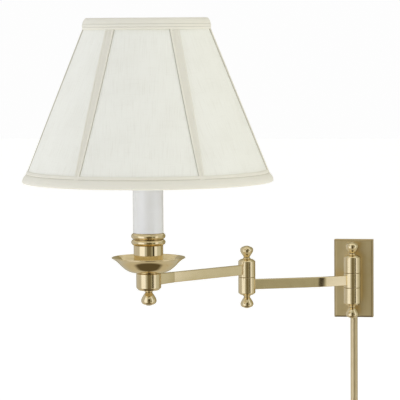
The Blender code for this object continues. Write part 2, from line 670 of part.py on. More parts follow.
def make_candle(head):
    spun_shell("pan", pan_profile(), PAN_SHEET, BRASS_POLISHED, head, (0, 0, 0), 32)
    spun_shell("candle_ferrule", ferrule_profile(), FERRULE_SHEET, BRASS_POLISHED, head, (0, 0, 0), 22)
    sleeve = [(SLEEVE_RADIUS, SLEEVE_TOP), (SLEEVE_RADIUS, SLEEVE_BOTTOM)]
    spun_shell("candle_sleeve", sleeve, 1.5 * MM, SLEEVE_WHITE, head, (0, 0, 0), 32)


def thread_profile(radius, top, bottom, pitch=3.6 * MM, depth=0.35 * MM):
    """A screw-shell thread, as rings with crests and roots by turns."""
    count = int((top - bottom) / pitch * 2)
    heights = [top - pitch / 2 * i for i in range(count + 1)]
    return [(radius + depth * math.cos(2 * math.pi * (z - top) / pitch), z) for z in heights]


def make_socket(head):
    cap = [(SOCKET_RADIUS, SOCKET_SEAM), (SOCKET_RADIUS, SOCKET_BOTTOM + 7.5 * MM),
           (13.5 * MM, SOCKET_BOTTOM + 2.7 * MM), (8.0 * MM, SOCKET_BOTTOM), (NIPPLE_HOLE, SOCKET_BOTTOM)]
    spun_shell("socket_cap", cap, SOCKET_SHEET, BRASS_SATIN, head, (0, 0, 0), 20)
    shell = [(SOCKET_RADIUS - 1 * MM, SOCKET_TOP), (SOCKET_RADIUS, SOCKET_TOP - 1 * MM),
             (SOCKET_RADIUS, SOCKET_SEAM + GAP)]
    case = spun_shell("socket_shell", shell, SOCKET_SHEET, BRASS_SATIN, head, (0, 0, 0), 24)
    way = Vector((math.cos(SWITCH_ANGLE), math.sin(SWITCH_ANGLE), 0))
    up = Vector((0, 0, SWITCH_HEIGHT))
    block = [(0, CORE_TOP), (CORE_RADIUS, CORE_TOP), (CORE_RADIUS, CORE_BOTTOM), (0, CORE_BOTTOM)]
    core = turned("socket_core", block, PHENOLIC, head, (0, 0, 0), 24)
    for piece, start, end in ((case, 12, 20), (core, 5, 20)):
        hole = rod_mesh("cut_switch_" + piece.name, 2.4 * MM, up + way * start * MM, up + way * end * MM, 14)
        combine(piece, place_cutter("cut_switch_" + piece.name, hole, head))
    screw_shell = thread_profile(SCREW_SHELL_RADIUS, SCREW_SHELL_TOP, CORE_TOP + 1 * MM)
    spun_shell("socket_screw_shell", screw_shell, SOCKET_SHEET / 2, ALUMINIUM, head, (0, 0, 0), 12)
    foot = CORE_TOP + GAP
    button = [(0, foot + 1.1 * MM), (3.4 * MM, foot + 0.9 * MM), (3.4 * MM, foot), (0, foot)]
    turned("socket_contact", button, BRASS_SATIN, head, (0, 0, 0), 14)


def make_switch(head):
    """The turn knob of the lampholder and its shaft, on a level axis."""
    axis = new_axis("switch_axis", (0, 0, SWITCH_HEIGHT), SWITCH_ANGLE, head)
    shaft = rod_mesh("switch_shaft", 1.9 * MM, (6 * MM, 0, 0), (26 * MM, 0, 0), 14)
    place("switch_shaft", shaft, BRASS_SATIN, axis)
    knob = rod_mesh("switch_knob", 6.2 * MM, (19 * MM, 0, 0), (30 * MM, 0, 0), 20)
    body = bevel(place("switch_knob", knob, PHENOLIC, axis, smooth=False), 1.2 * MM, 2)
    hole = rod_mesh("cut_knob", 1.9 * MM + GAP, (17 * MM, 0, 0), (26 * MM + GAP, 0, 0), 14)
    combine(body, place_cutter("cut_knob", hole, axis))


def make_bulb(head):
    thread_top = BULB_SEAT + 23.2 * MM
    base = [(12.9 * MM, thread_top + 3 * MM)] + thread_profile(12.75 * MM, thread_top, thread_top - 17 * MM)
    base += [(9.5 * MM, BULB_SEAT + 3.2 * MM), (5.0 * MM, BULB_SEAT + 0.8 * MM), (4.4 * MM, BULB_SEAT),
             (0.0, BULB_SEAT)]
    spun_shell("bulb_base", base, 0.5 * MM, ALUMINIUM, head, (0, 0, 0), 12)
    crown = [(0.0, BULB_TOP)] + arc(0.0, BULB_TOP - BULB_RADIUS, BULB_RADIUS, 78, -35, 7)
    low = BULB_SEAT + 13.2 * MM
    neck = [(20.2 * MM, low + 40 * MM), (15.2 * MM, low + 28 * MM), (12.9 * MM, low + 18 * MM),
            (11.4 * MM, low + 11 * MM), (11.4 * MM, low)]
    spun_shell("bulb_glass", crown + neck, 0.8 * MM, GLASS, head, (0, 0, 0), 16)


# ---------------------------------------------------------------- shade

def shade_radius(height):
    """Outer radius of the fabric cone at a height."""
    share = (height - SHADE_BOTTOM) / (SHADE_TOP - SHADE_BOTTOM)
    return SHADE_BOTTOM_RADIUS + share * (SHADE_TOP_RADIUS - SHADE_BOTTOM_RADIUS)


def cone_profile(top, bottom, inset):
    return [(shade_radius(top) - inset, top), (shade_radius(bottom) - inset, bottom)]


def trim_profile(top, bottom, lip_up):
    """A wrapped band round the edge: a thin lip and a fatter roll with a groove between them."""
    height = top - bottom
    shape = [(0.0, 0.0), (0.8, 0.05), (1.0, 0.35), (0.4, 0.7), (0.75, 0.8), (0.65, 1.0), (0.0, 1.0)]
    if not lip_up:
        shape = [(out, 1.0 - up) for out, up in reversed(shape)]
    points = []
    for out, up in reversed(shape):
        z = bottom + up * height
        points.append((shade_radius(z) + GAP + out * TRIM_THICKNESS, z))
    return points


def tape_mesh(name, top, bottom):
    """A strip along the cone, wide at the top and narrow at the bottom, as an open grid."""
    build = bmesh.new()
    rows = []
    for row in range(3):
        share = row / 2
        z = bottom + (top - bottom) * share
        width = TAPE_BOTTOM_WIDTH + (TAPE_TOP_WIDTH - TAPE_BOTTOM_WIDTH) * share
        out = shade_radius(z) + TAPE_SHEET
        angles = [width / out * (column / 4 - 0.5) for column in range(5)]
        rows.append([build.verts.new((out * math.cos(a), out * math.sin(a), z)) for a in angles])
    for lower, upper in zip(rows, rows[1:]):
        for i in range(4):
            build.faces.new((lower[i], lower[i + 1], upper[i + 1], upper[i]))
    mesh = bpy.data.meshes.new(name)
    build.to_mesh(mesh)
    build.free()
    return mesh


def rib_angles():
    return [RIB_ANGLE + 2 * math.pi * i / PANELS for i in range(PANELS)]


def make_shade_cover(head):
    """The fabric cone with six glued-on rib tapes, its styrene lining and the two wrapped edges."""
    cloth = cone_profile(SHADE_TOP, SHADE_BOTTOM, 0.0)
    cover = spun_shell("shade_cover", cloth, COVER_SHEET, SHADE_FABRIC, head, (0, 0, 0), CONE_STEPS)
    sheet = cone_profile(SHADE_TOP - 1 * MM, SHADE_BOTTOM + 1 * MM, COVER_SHEET + GAP)
    spun_shell("shade_lining", sheet, LINING_SHEET, LINING, head, (0, 0, 0), CONE_STEPS)
    trims = (("shade_trim_top", SHADE_TOP + 0.5 * MM, SHADE_TOP + 0.5 * MM - TRIM_HEIGHT, False),
             ("shade_trim_bottom", SHADE_BOTTOM + TRIM_HEIGHT, SHADE_BOTTOM, True))
    for name, top, bottom, lip_up in trims:
        turned(name, trim_profile(top, bottom, lip_up), SHADE_TRIM, head, (0, 0, 0), CONE_STEPS, closed=True)
    tape_top = SHADE_TOP - TRIM_HEIGHT
    tape_bottom = SHADE_BOTTOM + TRIM_HEIGHT + 0.5 * MM
    for number, angle in enumerate(rib_angles(), 1):
        name = "join_tape_%d" % number
        tape = place_cutter(name, tape_mesh(name, tape_top, tape_bottom), head, turn=angle)
        combine(cover, solidify(tape, TAPE_SHEET + TAPE_ROOT), "UNION")


def frame_radius(height):
    """Where the frame's wires stand inside the lining."""
    return shade_radius(height) - COVER_SHEET - LINING_SHEET - 3 * GAP - FRAME_WIRE


def ring_wire(name, height, segments):
    radius = frame_radius(height)
    turns = [2 * math.pi * i / segments for i in range(segments)]
    circle = [(radius * math.cos(a), radius * math.sin(a), height) for a in turns]
    return wire_mesh(name, circle, FRAME_WIRE, True, 1)


def make_shade_frame(head):
    """Two rings and six ribs welded into one frame."""
    top_ring = SHADE_TOP - 6 * MM
    bottom_ring = SHADE_BOTTOM + 5 * MM
    frame = place("shade_frame", ring_wire("shade_frame", bottom_ring, CONE_STEPS), WHITE_STEEL, head)
    upper = ring_wire("join_ring_top", top_ring, CONE_STEPS // 2)
    combine(frame, place_cutter("join_ring_top", upper, head), "UNION")
    for number, angle in enumerate(rib_angles(), 1):
        name = "join_rib_%d" % number
        ends = [(frame_radius(z), 0.0, z) for z in (bottom_ring, top_ring)]
        rib = place_cutter(name, wire_mesh(name, ends, FRAME_WIRE * 0.8, False, 1), head, turn=angle)
        combine(frame, rib, "UNION")


def make_shade_fitter(head):
    """The ring that drops over the lampholder, its three arms to the top ring, and the ring that clamps it."""
    inner = SOCKET_RADIUS + GAP
    seat = FITTER_BOTTOM + FITTER_RING_HEIGHT
    ring = ring_profile(FITTER_RADIUS, inner, seat, FITTER_BOTTOM)
    fitter = turned("shade_fitter", ring, WHITE_STEEL, head, (0, 0, 0), 24, closed=True)
    clamp = ring_profile(FITTER_RADIUS + 0.6 * MM, inner, seat + FITTER_RING_HEIGHT, seat + GAP)
    turned("fitter_clamp_ring", clamp, PHENOLIC, head, (0, 0, 0), 24, closed=True)
    top_ring = SHADE_TOP - 6 * MM
    meet = frame_radius(top_ring) - 2 * FRAME_WIRE - GAP
    middle = FITTER_BOTTOM + FITTER_RING_HEIGHT / 2
    arm = [(FITTER_RADIUS - 1.2 * MM, 0, middle), (27 * MM, 0, middle + 0.3 * MM),
           (33 * MM, 0, middle + 4 * MM), (meet - 1 * MM, 0, top_ring - 8 * MM), (meet, 0, top_ring)]
    for number in range(3):
        name = "join_fitter_arm_%d" % (number + 1)
        turn = RIB_ANGLE + 2 * math.pi * number / 3
        combine(fitter, place_cutter(name, wire_mesh(name, arm, FRAME_WIRE), head, turn=turn), "UNION")


clear_scene()
PARTS = new_collection("swing_arm_wall_sconce")
CUTTERS = new_collection("cutters")
BRASS_SATIN = make_material("brass_satin", (0.66, 0.56, 0.33), 0.34, 1.0)
BRASS_PLATE = make_material("brass_plate", (0.60, 0.52, 0.34), 0.38, 1.0)
BRASS_POLISHED = make_material("brass_polished", (0.74, 0.62, 0.34), 0.12, 1.0)
STEEL = make_material("steel", (0.55, 0.55, 0.56), 0.35, 1.0)
ALUMINIUM = make_material("aluminium", (0.75, 0.75, 0.77), 0.3, 1.0)
WHITE_STEEL = make_material("white_steel", (0.85, 0.85, 0.83), 0.4)
NYLON = make_material("nylon", (0.86, 0.85, 0.8), 0.5)
WIRE = make_material("wire", (0.75, 0.68, 0.5), 0.45)
PHENOLIC = make_material("phenolic", (0.04, 0.035, 0.03), 0.3)
SLEEVE_WHITE = make_material("sleeve_white", (0.88, 0.88, 0.87), 0.15)
GLASS = make_material("frosted_glass", (0.95, 0.95, 0.94), 0.35, alpha=0.6)
SHADE_FABRIC = make_material("shade_fabric", (0.86, 0.83, 0.76), 0.85)
SHADE_TRIM = make_material("shade_trim", (0.84, 0.8, 0.7), 0.8)
LINING = make_material("shade_lining", (0.92, 0.91, 0.88), 0.6)

make_back_plate()
make_mounting_strap()
make_wall_fasteners()
make_posts()
make_wall_pivot()
make_cord_cover()
FAR_ARM = make_far_arm()
NEAR_ARM = make_near_arm(FAR_ARM)
HEAD = new_axis("head_axis", (NEAR_ARM_LENGTH, 0, 0), 0.0, NEAR_ARM)
make_head_hub(HEAD)
make_head_stem(HEAD)
make_candle(HEAD)
make_socket(HEAD)
make_switch(HEAD)
make_bulb(HEAD)
make_shade_cover(HEAD)
make_shade_frame(HEAD)
make_shade_fitter(HEAD)
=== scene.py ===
"""The looks of a swing arm wall sconce: turned and brushed brass, a candle sleeve and a linen shade.

It is laid out as an add-on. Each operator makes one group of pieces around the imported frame, the settings in
the property groups hold the sizes and colours, and the panel lists the operators in the order in which main()
runs them.
Every length is in metres. The wall is the plane y = 0, and the sconce stands out from it towards -Y.
"""

import json
import math

import bmesh
import bpy
from mathutils import Matrix, Vector, noise


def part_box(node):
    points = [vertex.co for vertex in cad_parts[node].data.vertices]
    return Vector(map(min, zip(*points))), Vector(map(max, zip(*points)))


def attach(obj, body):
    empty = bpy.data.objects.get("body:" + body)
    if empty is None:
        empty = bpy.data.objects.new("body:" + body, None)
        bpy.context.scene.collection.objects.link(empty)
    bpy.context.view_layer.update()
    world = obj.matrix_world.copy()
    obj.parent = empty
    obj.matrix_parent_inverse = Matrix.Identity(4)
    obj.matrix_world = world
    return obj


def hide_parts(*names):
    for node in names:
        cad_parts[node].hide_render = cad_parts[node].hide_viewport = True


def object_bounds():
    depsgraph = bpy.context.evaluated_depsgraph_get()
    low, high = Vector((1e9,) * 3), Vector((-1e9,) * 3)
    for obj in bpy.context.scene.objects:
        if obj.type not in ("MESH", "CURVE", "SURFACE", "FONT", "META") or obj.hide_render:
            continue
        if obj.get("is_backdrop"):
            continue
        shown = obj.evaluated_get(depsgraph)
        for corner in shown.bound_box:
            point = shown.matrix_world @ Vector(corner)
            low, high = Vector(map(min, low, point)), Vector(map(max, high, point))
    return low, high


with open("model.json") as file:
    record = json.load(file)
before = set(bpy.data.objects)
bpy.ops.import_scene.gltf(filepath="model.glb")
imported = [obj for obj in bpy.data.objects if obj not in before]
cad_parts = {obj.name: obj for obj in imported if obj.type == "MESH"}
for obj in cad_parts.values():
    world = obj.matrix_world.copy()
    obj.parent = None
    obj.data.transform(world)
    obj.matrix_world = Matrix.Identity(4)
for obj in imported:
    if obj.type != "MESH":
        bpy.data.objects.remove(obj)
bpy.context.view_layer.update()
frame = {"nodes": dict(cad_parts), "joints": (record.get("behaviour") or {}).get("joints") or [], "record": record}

bl_info = {
    "name": "Swing arm wall sconce",
    "version": (1, 0, 0),
    "blender": (4, 5, 0),
    "location": "3D View > Sidebar > Sconce",
    "description": "Builds the visible pieces of a swing arm wall sconce around its frame",
    "category": "Object",
}

MM = 0.001
TURN = 2 * math.pi

# ---------------------------------------------------------------- places read from the frame

JOINTS = {joint["name"]: joint for joint in frame["joints"]}
WALL_PIVOT = Vector(JOINTS["wall_swing"]["pos_m"])
ELBOW = Vector(JOINTS["elbow_swing"]["pos_m"])
SWITCH_AXIS = Vector(JOINTS["switch_turn"]["axis"])
SWITCH_MIDDLE = Vector(JOINTS["switch_turn"]["pos_m"])


def low_of(node):
    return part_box(node)[0]


def high_of(node):
    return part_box(node)[1]


def middle_of(node):
    return (low_of(node) + high_of(node)) / 2


def size_of(node):
    return high_of(node) - low_of(node)


NEAR_LEVEL = middle_of("near_arm_bar").z


def base_of(node):
    """The height of a node's lowest point over the middle of the near arm, where the head's heights start."""
    return low_of(node).z - NEAR_LEVEL


def top_of(node):
    return high_of(node).z - NEAR_LEVEL


FAR_LEVEL = middle_of("far_arm_bar").z
HEAD = Vector((SWITCH_MIDDLE.x, SWITCH_MIDDLE.y, NEAR_LEVEL))
KNUCKLE_RADIUS = size_of("wall_knuckle_upper").x / 2
HALF_KNUCKLE = size_of("far_arm_wall_hub").z / 2
SHOULDER = size_of("elbow_knuckle_upper").z - 2 * HALF_KNUCKLE
BAR_HEIGHT = size_of("near_arm_bar").z
FINIAL_HEIGHT = high_of("wall_finial_top").z - high_of("wall_knuckle_upper").z
HEAD_FINIAL_HEIGHT = low_of("head_hub").z - low_of("head_finial").z
HUB_LOW = base_of("head_hub")
HUB_HIGH = top_of("head_hub")
PAN_LOW = base_of("pan")
PAN_RIM = top_of("pan")
PAN_RADIUS = size_of("pan").x / 2
SHADE_LOW = base_of("shade_cover")
SHADE_HIGH = top_of("shade_cover")
FAR_DIRECTION = (ELBOW - WALL_PIVOT).to_2d().normalized()
NEAR_DIRECTION = (HEAD - ELBOW).to_2d().normalized()
FAR_TURN = math.atan2(FAR_DIRECTION.y, FAR_DIRECTION.x)
NEAR_TURN = math.atan2(NEAR_DIRECTION.y, NEAR_DIRECTION.x)
FAR_LENGTH = (ELBOW - WALL_PIVOT).to_2d().length
NEAR_LENGTH = (HEAD - ELBOW).to_2d().length
BITE = 2.5 * MM  # how far a bar runs into its knuckle or its hub


# ---------------------------------------------------------------- settings

def length(name, description, default):
    return bpy.props.FloatProperty(name=name, description=description, default=default, unit="LENGTH",
                                   precision=5)


def colour(name, description, default):
    return bpy.props.FloatVectorProperty(name=name, description=description, default=default, subtype="COLOR",
                                         size=3, min=0.0, max=1.0)


def share(name, description, default):
    return bpy.props.FloatProperty(name=name, description=description, default=default, subtype="FACTOR",
                                   min=0.0, max=1.0)


def angle(name, description, default):
    return bpy.props.FloatProperty(name=name, description=description, default=math.radians(default),
                                   subtype="ANGLE", unit="ROTATION")


def watts(name, description, default):
    return bpy.props.FloatProperty(name=name, description=description, default=default, min=0.0)


class SconceMetal(bpy.types.PropertyGroup):
    brass: colour("Brass", "Colour of clean lacquered brass", (0.80, 0.665, 0.395))
    aged: colour("Aged brass", "Colour of brass where the lacquer has yellowed", (0.70, 0.55, 0.27))
    # The same colour is the painted shade on the wall plate's bevel.
    groove_polish_and_shade: colour("Groove", "Colour of the polish left in grooves", (0.29, 0.205, 0.085))
    satin: share("Satin roughness", "Roughness of the brushed pieces", 0.15)
    polished: share("Polished roughness", "Roughness of the polished pieces", 0.055)
    plate: share("Plate roughness", "Roughness of the wall plate's brushed face", 0.31)
    drawn: share("Drawn roughness", "Roughness of the drawn cord cover", 0.54)
    lacquer: share("Lacquer", "Weight of the clear lacquer on the brass", 0.35)
    edge: length("Edge", "How far the bars' edges are rounded", 0.8 * MM)


class SconceSizes(bpy.types.PropertyGroup):
    plate_bevel: length("Plate bevel", "Width of the bevel round the wall plate", 1.9 * MM)
    plate_sheet: length("Plate sheet", "Thickness of the wall plate's sheet", 1.5 * MM)
    post_radius: length("Post radius", "Radius of the posts behind the wall pivot", 4.6 * MM)
    bar_width: length("Bar width", "Thickness of the arms' flat bars", 6.35 * MM)
    bend_distance: length("Bend distance", "From the wall pivot to the far arm's bend", 45.0 * MM)
    bend_angle: angle("Bend angle", "How far the far arm's first stretch is turned", 8.0)
    stub_length: length("Stub length", "From the head's axis to the end of its stub", 43.4 * MM)
    stub_angle: angle("Stub angle", "How far the stub is turned from the arm's line", 4.0)
    hub_radius: length("Hub radius", "Radius of the hub below the pan", 15.3 * MM)
    finial_radius: length("Finial radius", "Largest radius of a pivot's finial", 8.3 * MM)
    ferrule_radius: length("Ferrule radius", "Radius of the plain part of the candle ferrule", 18.1 * MM)
    bead_radius: length("Bead radius", "Radius of the two beads round the ferrule", 3.5 * MM)
    sleeve_radius: length("Sleeve radius", "Radius of the white candle sleeve", 18.6 * MM)
    socket_radius: length("Lampholder radius", "Radius of the lampholder's shell", 16.2 * MM)
    bulb_radius: length("Bulb radius", "Radius of the bulb's round part", 30.0 * MM)
    cover_width: length("Cord cover width", "Width of the channel down the wall", 8.9 * MM)
    cover_depth: length("Cord cover depth", "How far the channel stands off the wall", 9.5 * MM)


class SconceShade(bpy.types.PropertyGroup):
    linen: colour("Linen", "Colour of the shade's linen", (0.89, 0.89, 0.813))
    slub: colour("Slub", "Colour of the thicker threads", (0.765, 0.75, 0.665))
    trim: colour("Trim", "Colour of the wrapped edges and the rib tapes", (0.80, 0.775, 0.67))
    # Painted shade: the colour that creases, seams and the tapes' edges are darkened towards.
    painted_crease_shade: colour("Crease", "Colour in the creases and seams", (0.50, 0.485, 0.41))
    thread: length("Thread", "Distance between the linen's threads", 0.55 * MM)
    low_radius: length("Bottom radius", "Radius of the shade's bottom edge", 151.2 * MM)
    high_radius: length("Top radius", "Radius of the shade's top edge", 71.0 * MM)
    cloth: length("Cloth thickness", "Thickness of the linen", 0.7 * MM)
    tape_high: length("Tape width at the top", "Width of a rib tape below the top trim", 13.0 * MM)
    tape_low: length("Tape width at the bottom", "Width of a rib tape above the bottom trim", 6.6 * MM)
    tape_rise: length("Tape rise", "How far a rib tape stands off the linen", 1.2 * MM)
    trim_height: length("Trim height", "Height of the wrapped edges", 13.6 * MM)
    first_rib: angle("First rib", "Turn of the first rib from the arm's line", 12.4)
    panels: bpy.props.IntProperty(name="Panels", description="Number of linen panels", default=6, min=3)


class SconceStage(bpy.types.PropertyGroup):
    lens: bpy.props.FloatProperty(name="Lens", description="Focal length of the camera in millimetres on a "
                                  "sensor 36 mm wide", default=218.61)
    camera_at: bpy.props.FloatVectorProperty(name="Camera", description="Where the camera stands", size=3,
                                             default=(0.28531, -3.14179, 0.33726), subtype="TRANSLATION")
    swing: angle("Swing", "How far the camera looks to the left of the wall's normal", 8.826)
    tilt: angle("Tilt", "How far the camera looks down", 4.257)
    roll: angle("Roll", "How far the camera leans", -0.393)
    key: watts("Key light", "Power of the left light in watts", 6.0)
    fill: watts("Fill light", "Power of the right light in watts", 12.0)
    top: watts("Top light", "Power of the light overhead in watts", 2.0)
    room: bpy.props.FloatProperty(name="Room", description="Strength of the light that comes from all round",
                                  default=1.0)
    floor_gap: length("Floor gap", "How far the floor lies below the sconce", 60.0 * MM)


SETTINGS = {"sconce_metal": SconceMetal, "sconce_sizes": SconceSizes, "sconce_shade": SconceShade,
            "sconce_stage": SconceStage}


# ---------------------------------------------------------------- shader maths

class Value:
    """A node's output that takes part in Python expressions. Each operator adds one Math node."""

    def __init__(self, tree, socket):
        self.tree = tree
        self.socket = socket

    def math(self, operation, *others):
        inputs = dict(enumerate((self,) + others))
        return self.tree.node("ShaderNodeMath", {"operation": operation}, inputs)

    def swapped(self, operation, other):
        return self.tree.node("ShaderNodeMath", {"operation": operation}, {0: other, 1: self})

    def __add__(self, other):
        return self.math("ADD", other)

    def __radd__(self, other):
        return self.swapped("ADD", other)

    def __sub__(self, other):
        return self.math("SUBTRACT", other)

    def __rsub__(self, other):
        return self.swapped("SUBTRACT", other)

    def __mul__(self, other):
        return self.math("MULTIPLY", other)

    def __rmul__(self, other):
        return self.swapped("MULTIPLY", other)

    def __abs__(self):
        return self.math("ABSOLUTE")

    def rise(self, start, end):
        """0 below start and 1 above end, with a soft step between."""
        settings = {"interpolation_type": "SMOOTHSTEP"}
        inputs = {"Value": self, "From Min": start, "From Max": end}
        return self.tree.node("ShaderNodeMapRange", settings, inputs)

    def hill(self, start, top, brow, foot):
        """0 below start, 1 from top to brow and 0 again above foot, with soft steps between."""
        return self.rise(start, top) * (1 - self.rise(brow, foot))


class Tree:
    """Adds nodes to the node tree of a material or a world."""

    def __init__(self, owner):
        owner.use_nodes = True
        self.nodes = owner.node_tree.nodes
        self.links = owner.node_tree.links
        self.nodes.clear()

    def node(self, kind, settings=None, inputs=None, output=0):
        """One node: its settings are set first, then the values or links of its sockets."""
        made = self.nodes.new(kind)
        for name, value in (settings or {}).items():
            setattr(made, name, value)
        for name, value in (inputs or {}).items():
            if isinstance(value, Value):
                self.links.new(value.socket, made.inputs[name])
            else:
                made.inputs[name].default_value = value
        return Value(self, made.outputs[output]) if len(made.outputs) else made

    def place(self):
        return self.node("ShaderNodeTexCoord", output="Object")

    def cut(self):
        """The cloth's own coordinates, in metres of the flat cut."""
        return self.node("ShaderNodeUVMap", {"uv_map": "cut"})

    def cut_parts(self):
        """The cloth's own coordinates, then the one across the cut and the one down it."""
        flat = self.cut()
        across = self.node("ShaderNodeSeparateXYZ", {}, {"Vector": flat}, output="X")
        return flat, across, Value(self, across.socket.node.outputs["Y"])

    def stretched(self, vector, scale):
        return self.node("ShaderNodeVectorMath", {"operation": "MULTIPLY"}, {0: vector, 1: scale})

    def noise(self, vector, scale=1.0, detail=3.0, roughness=0.55):
        return self.node("ShaderNodeTexNoise", {}, {"Vector": vector, "Scale": scale, "Detail": detail,
                                                    "Roughness": roughness})

    def mark(self, name):
        """A number that the mesh carries at its points."""
        return self.node("ShaderNodeAttribute", {"attribute_name": name}, output="Fac")

    def blend(self, factor, first, second):
        """From the first colour to the second as the factor goes from 0 to 1."""
        inputs = {0: factor, 6: opaque(first), 7: opaque(second)}
        return self.node("ShaderNodeMix", {"data_type": "RGBA"}, inputs, output=2)

    def bump(self, height, distance, strength=1.0):
        return self.node("ShaderNodeBump", {}, {"Height": height, "Distance": distance, "Strength": strength})

    def surface(self, **inputs):
        """The Principled shader and the output. Underscores in a name stand for spaces."""
        named = {name.replace("_", " "): opaque(value) if "Color" in name or "Tint" in name else value
                 for name, value in inputs.items()}
        shader = self.node("ShaderNodeBsdfPrincipled", {}, named)
        self.node("ShaderNodeOutputMaterial", {}, {"Surface": shader})


def opaque(value):
    """A colour setting with its alpha, or a link as it is."""
    return value if isinstance(value, Value) else (*value[:3], 1.0)


def new_material(name):
    """A material of this script's own, apart from the frame's plain ones, and the tree to fill if new."""
    own = "look_" + name
    made = bpy.data.materials.get(own)
    if made:
        return made, None
    made = bpy.data.materials.new(own)
    return made, Tree(made)


# ---------------------------------------------------------------- materials

def brass(name, roughness, grain, grain_depth, streak, age=0.0):
    """Lacquered brass. The grain is a scale along each axis: large across the brushing and small along it."""
    made, tree = new_material(name)
    if tree is None:
        return made
    metal = bpy.context.scene.sconce_metal
    place = tree.place()
    wear_and_shade = tree.mark("wear_and_shade")
    edge = wear_and_shade.rise(0.1, 0.9)
    # Negative marks darken the colour: in turned grooves this is the polish left there, on the wall plate's bevel
    # it is painted shade.
    groove_polish_and_shade = (wear_and_shade * -1.0).rise(0.05, 0.6)
    fine = tree.noise(tree.stretched(place, grain), detail=2.0)
    coarse = tree.noise(tree.stretched(place, [step * 0.24 for step in grain]), detail=2.0)
    cloud = tree.noise(place, 38.0, 4.0)
    smudge = tree.noise(place, 95.0, 3.0)
    aged = cloud.rise(0.42, 0.78) * 0.45 + coarse.rise(0.45, 0.8) * streak + age
    base = tree.blend(aged, metal.brass, metal.aged)
    base = tree.blend(groove_polish_and_shade * 0.78, base, metal.groove_polish_and_shade)
    rough = roughness + (fine - 0.5) * streak * 0.5 + smudge.rise(0.5, 0.8) * 0.05
    rough = rough + groove_polish_and_shade * 0.15 - edge * 0.06
    tree.surface(Base_Color=base, Metallic=1.0, Roughness=rough, Coat_Weight=metal.lacquer,
                 Coat_Roughness=0.06, Normal=tree.bump(fine * 0.6 + coarse * 0.4, grain_depth))
    return made


def turned_brass():
    """Satin brass with fine rings left by the lathe, for pieces whose axis is their own Z."""
    return brass("turned_brass", bpy.context.scene.sconce_metal.satin, (60.0, 60.0, 5200.0),
                 0.0022 * MM, 0.12)


def brushed_bar_brass():
    """Satin brass brushed along the piece's own X."""
    return brass("brushed_bar_brass", bpy.context.scene.sconce_metal.satin, (45.0, 5200.0, 5200.0),
                 0.003 * MM, 0.16)


def brushed_upright_brass():
    """Satin brass brushed up and down."""
    return brass("brushed_upright_brass", bpy.context.scene.sconce_metal.drawn, (5200.0, 5200.0, 45.0),
                 0.006 * MM, 0.16)


def plate_brass():
    """The wall plate's face, brushed up and down a little more coarsely."""
    return brass("plate_brass", bpy.context.scene.sconce_metal.plate, (3600.0, 3600.0, 30.0),
                 0.005 * MM, 0.2, 0.6)


def polished_brass():
    """Buffed brass that mirrors the room, with faint swirls."""
    return brass("polished_brass", bpy.context.scene.sconce_metal.polished, (260.0, 260.0, 900.0),
                 0.0015 * MM, 0.04)


def plain_metal(name, base, stain, roughness, scale):
    """A plated or rolled metal with a faint spangle."""
    made, tree = new_material(name)
    if tree is None:
        return made
    place = tree.place()
    spangle = tree.noise(place, scale, 3.0)
    streaks = tree.noise(tree.stretched(place, (scale * 3, scale * 3, scale * 0.3)), detail=2.0)
    tree.surface(Base_Color=tree.blend(spangle.rise(0.35, 0.75), base, stain), Metallic=1.0,
                 Roughness=roughness + (streaks - 0.5) * 0.18,
                 Normal=tree.bump(spangle + streaks, 0.01 * MM))
    return made


def moulded(name, base, shade, roughness, scale, coat=0.0, pebble=0.01 * MM):
    """A moulded or painted surface: slightly uneven colour, gloss and skin."""
    made, tree = new_material(name)
    if tree is None:
        return made
    place = tree.place()
    cloud = tree.noise(place, scale, 4.0)
    skin = tree.noise(place, scale * 22, 2.0)
    tree.surface(Base_Color=tree.blend(cloud.rise(0.35, 0.75), base, shade),
                 Roughness=roughness + (cloud - 0.5) * 0.12 + (skin - 0.5) * 0.06,
                 Coat_Weight=coat, Coat_Roughness=0.08, Normal=tree.bump(skin, pebble))
    return made


def steel():
    return plain_metal("zinc_plated_steel", (0.55, 0.55, 0.56), (0.42, 0.43, 0.45), 0.34, 320.0)


def aluminium():
    return plain_metal("rolled_aluminium", (0.75, 0.75, 0.77), (0.62, 0.62, 0.64), 0.3, 260.0)


def white_enamel():
    return moulded("white_enamel", (0.86, 0.86, 0.84), (0.79, 0.79, 0.76), 0.35, 40.0, 0.3)


def nylon():
    return moulded("natural_nylon", (0.86, 0.85, 0.8), (0.78, 0.76, 0.69), 0.5, 90.0)


def lead_cover():
    return moulded("lead_insulation", (0.74, 0.66, 0.48), (0.62, 0.54, 0.37), 0.45, 120.0)


def phenolic():
    return moulded("dark_phenolic", (0.042, 0.035, 0.03), (0.075, 0.06, 0.045), 0.28, 110.0, 0.3)


def sleeve_white():
    return moulded("candle_white", (0.785, 0.79, 0.79), (0.75, 0.75, 0.745), 0.24, 26.0, 0.6, 0.006 * MM)


def styrene():
    return moulded("shade_styrene", (0.90, 0.89, 0.85), (0.84, 0.82, 0.76), 0.55, 22.0)


def bulb_frost():
    return moulded("bulb_frost", (0.93, 0.93, 0.92), (0.88, 0.88, 0.87), 0.38, 60.0, 0.2)


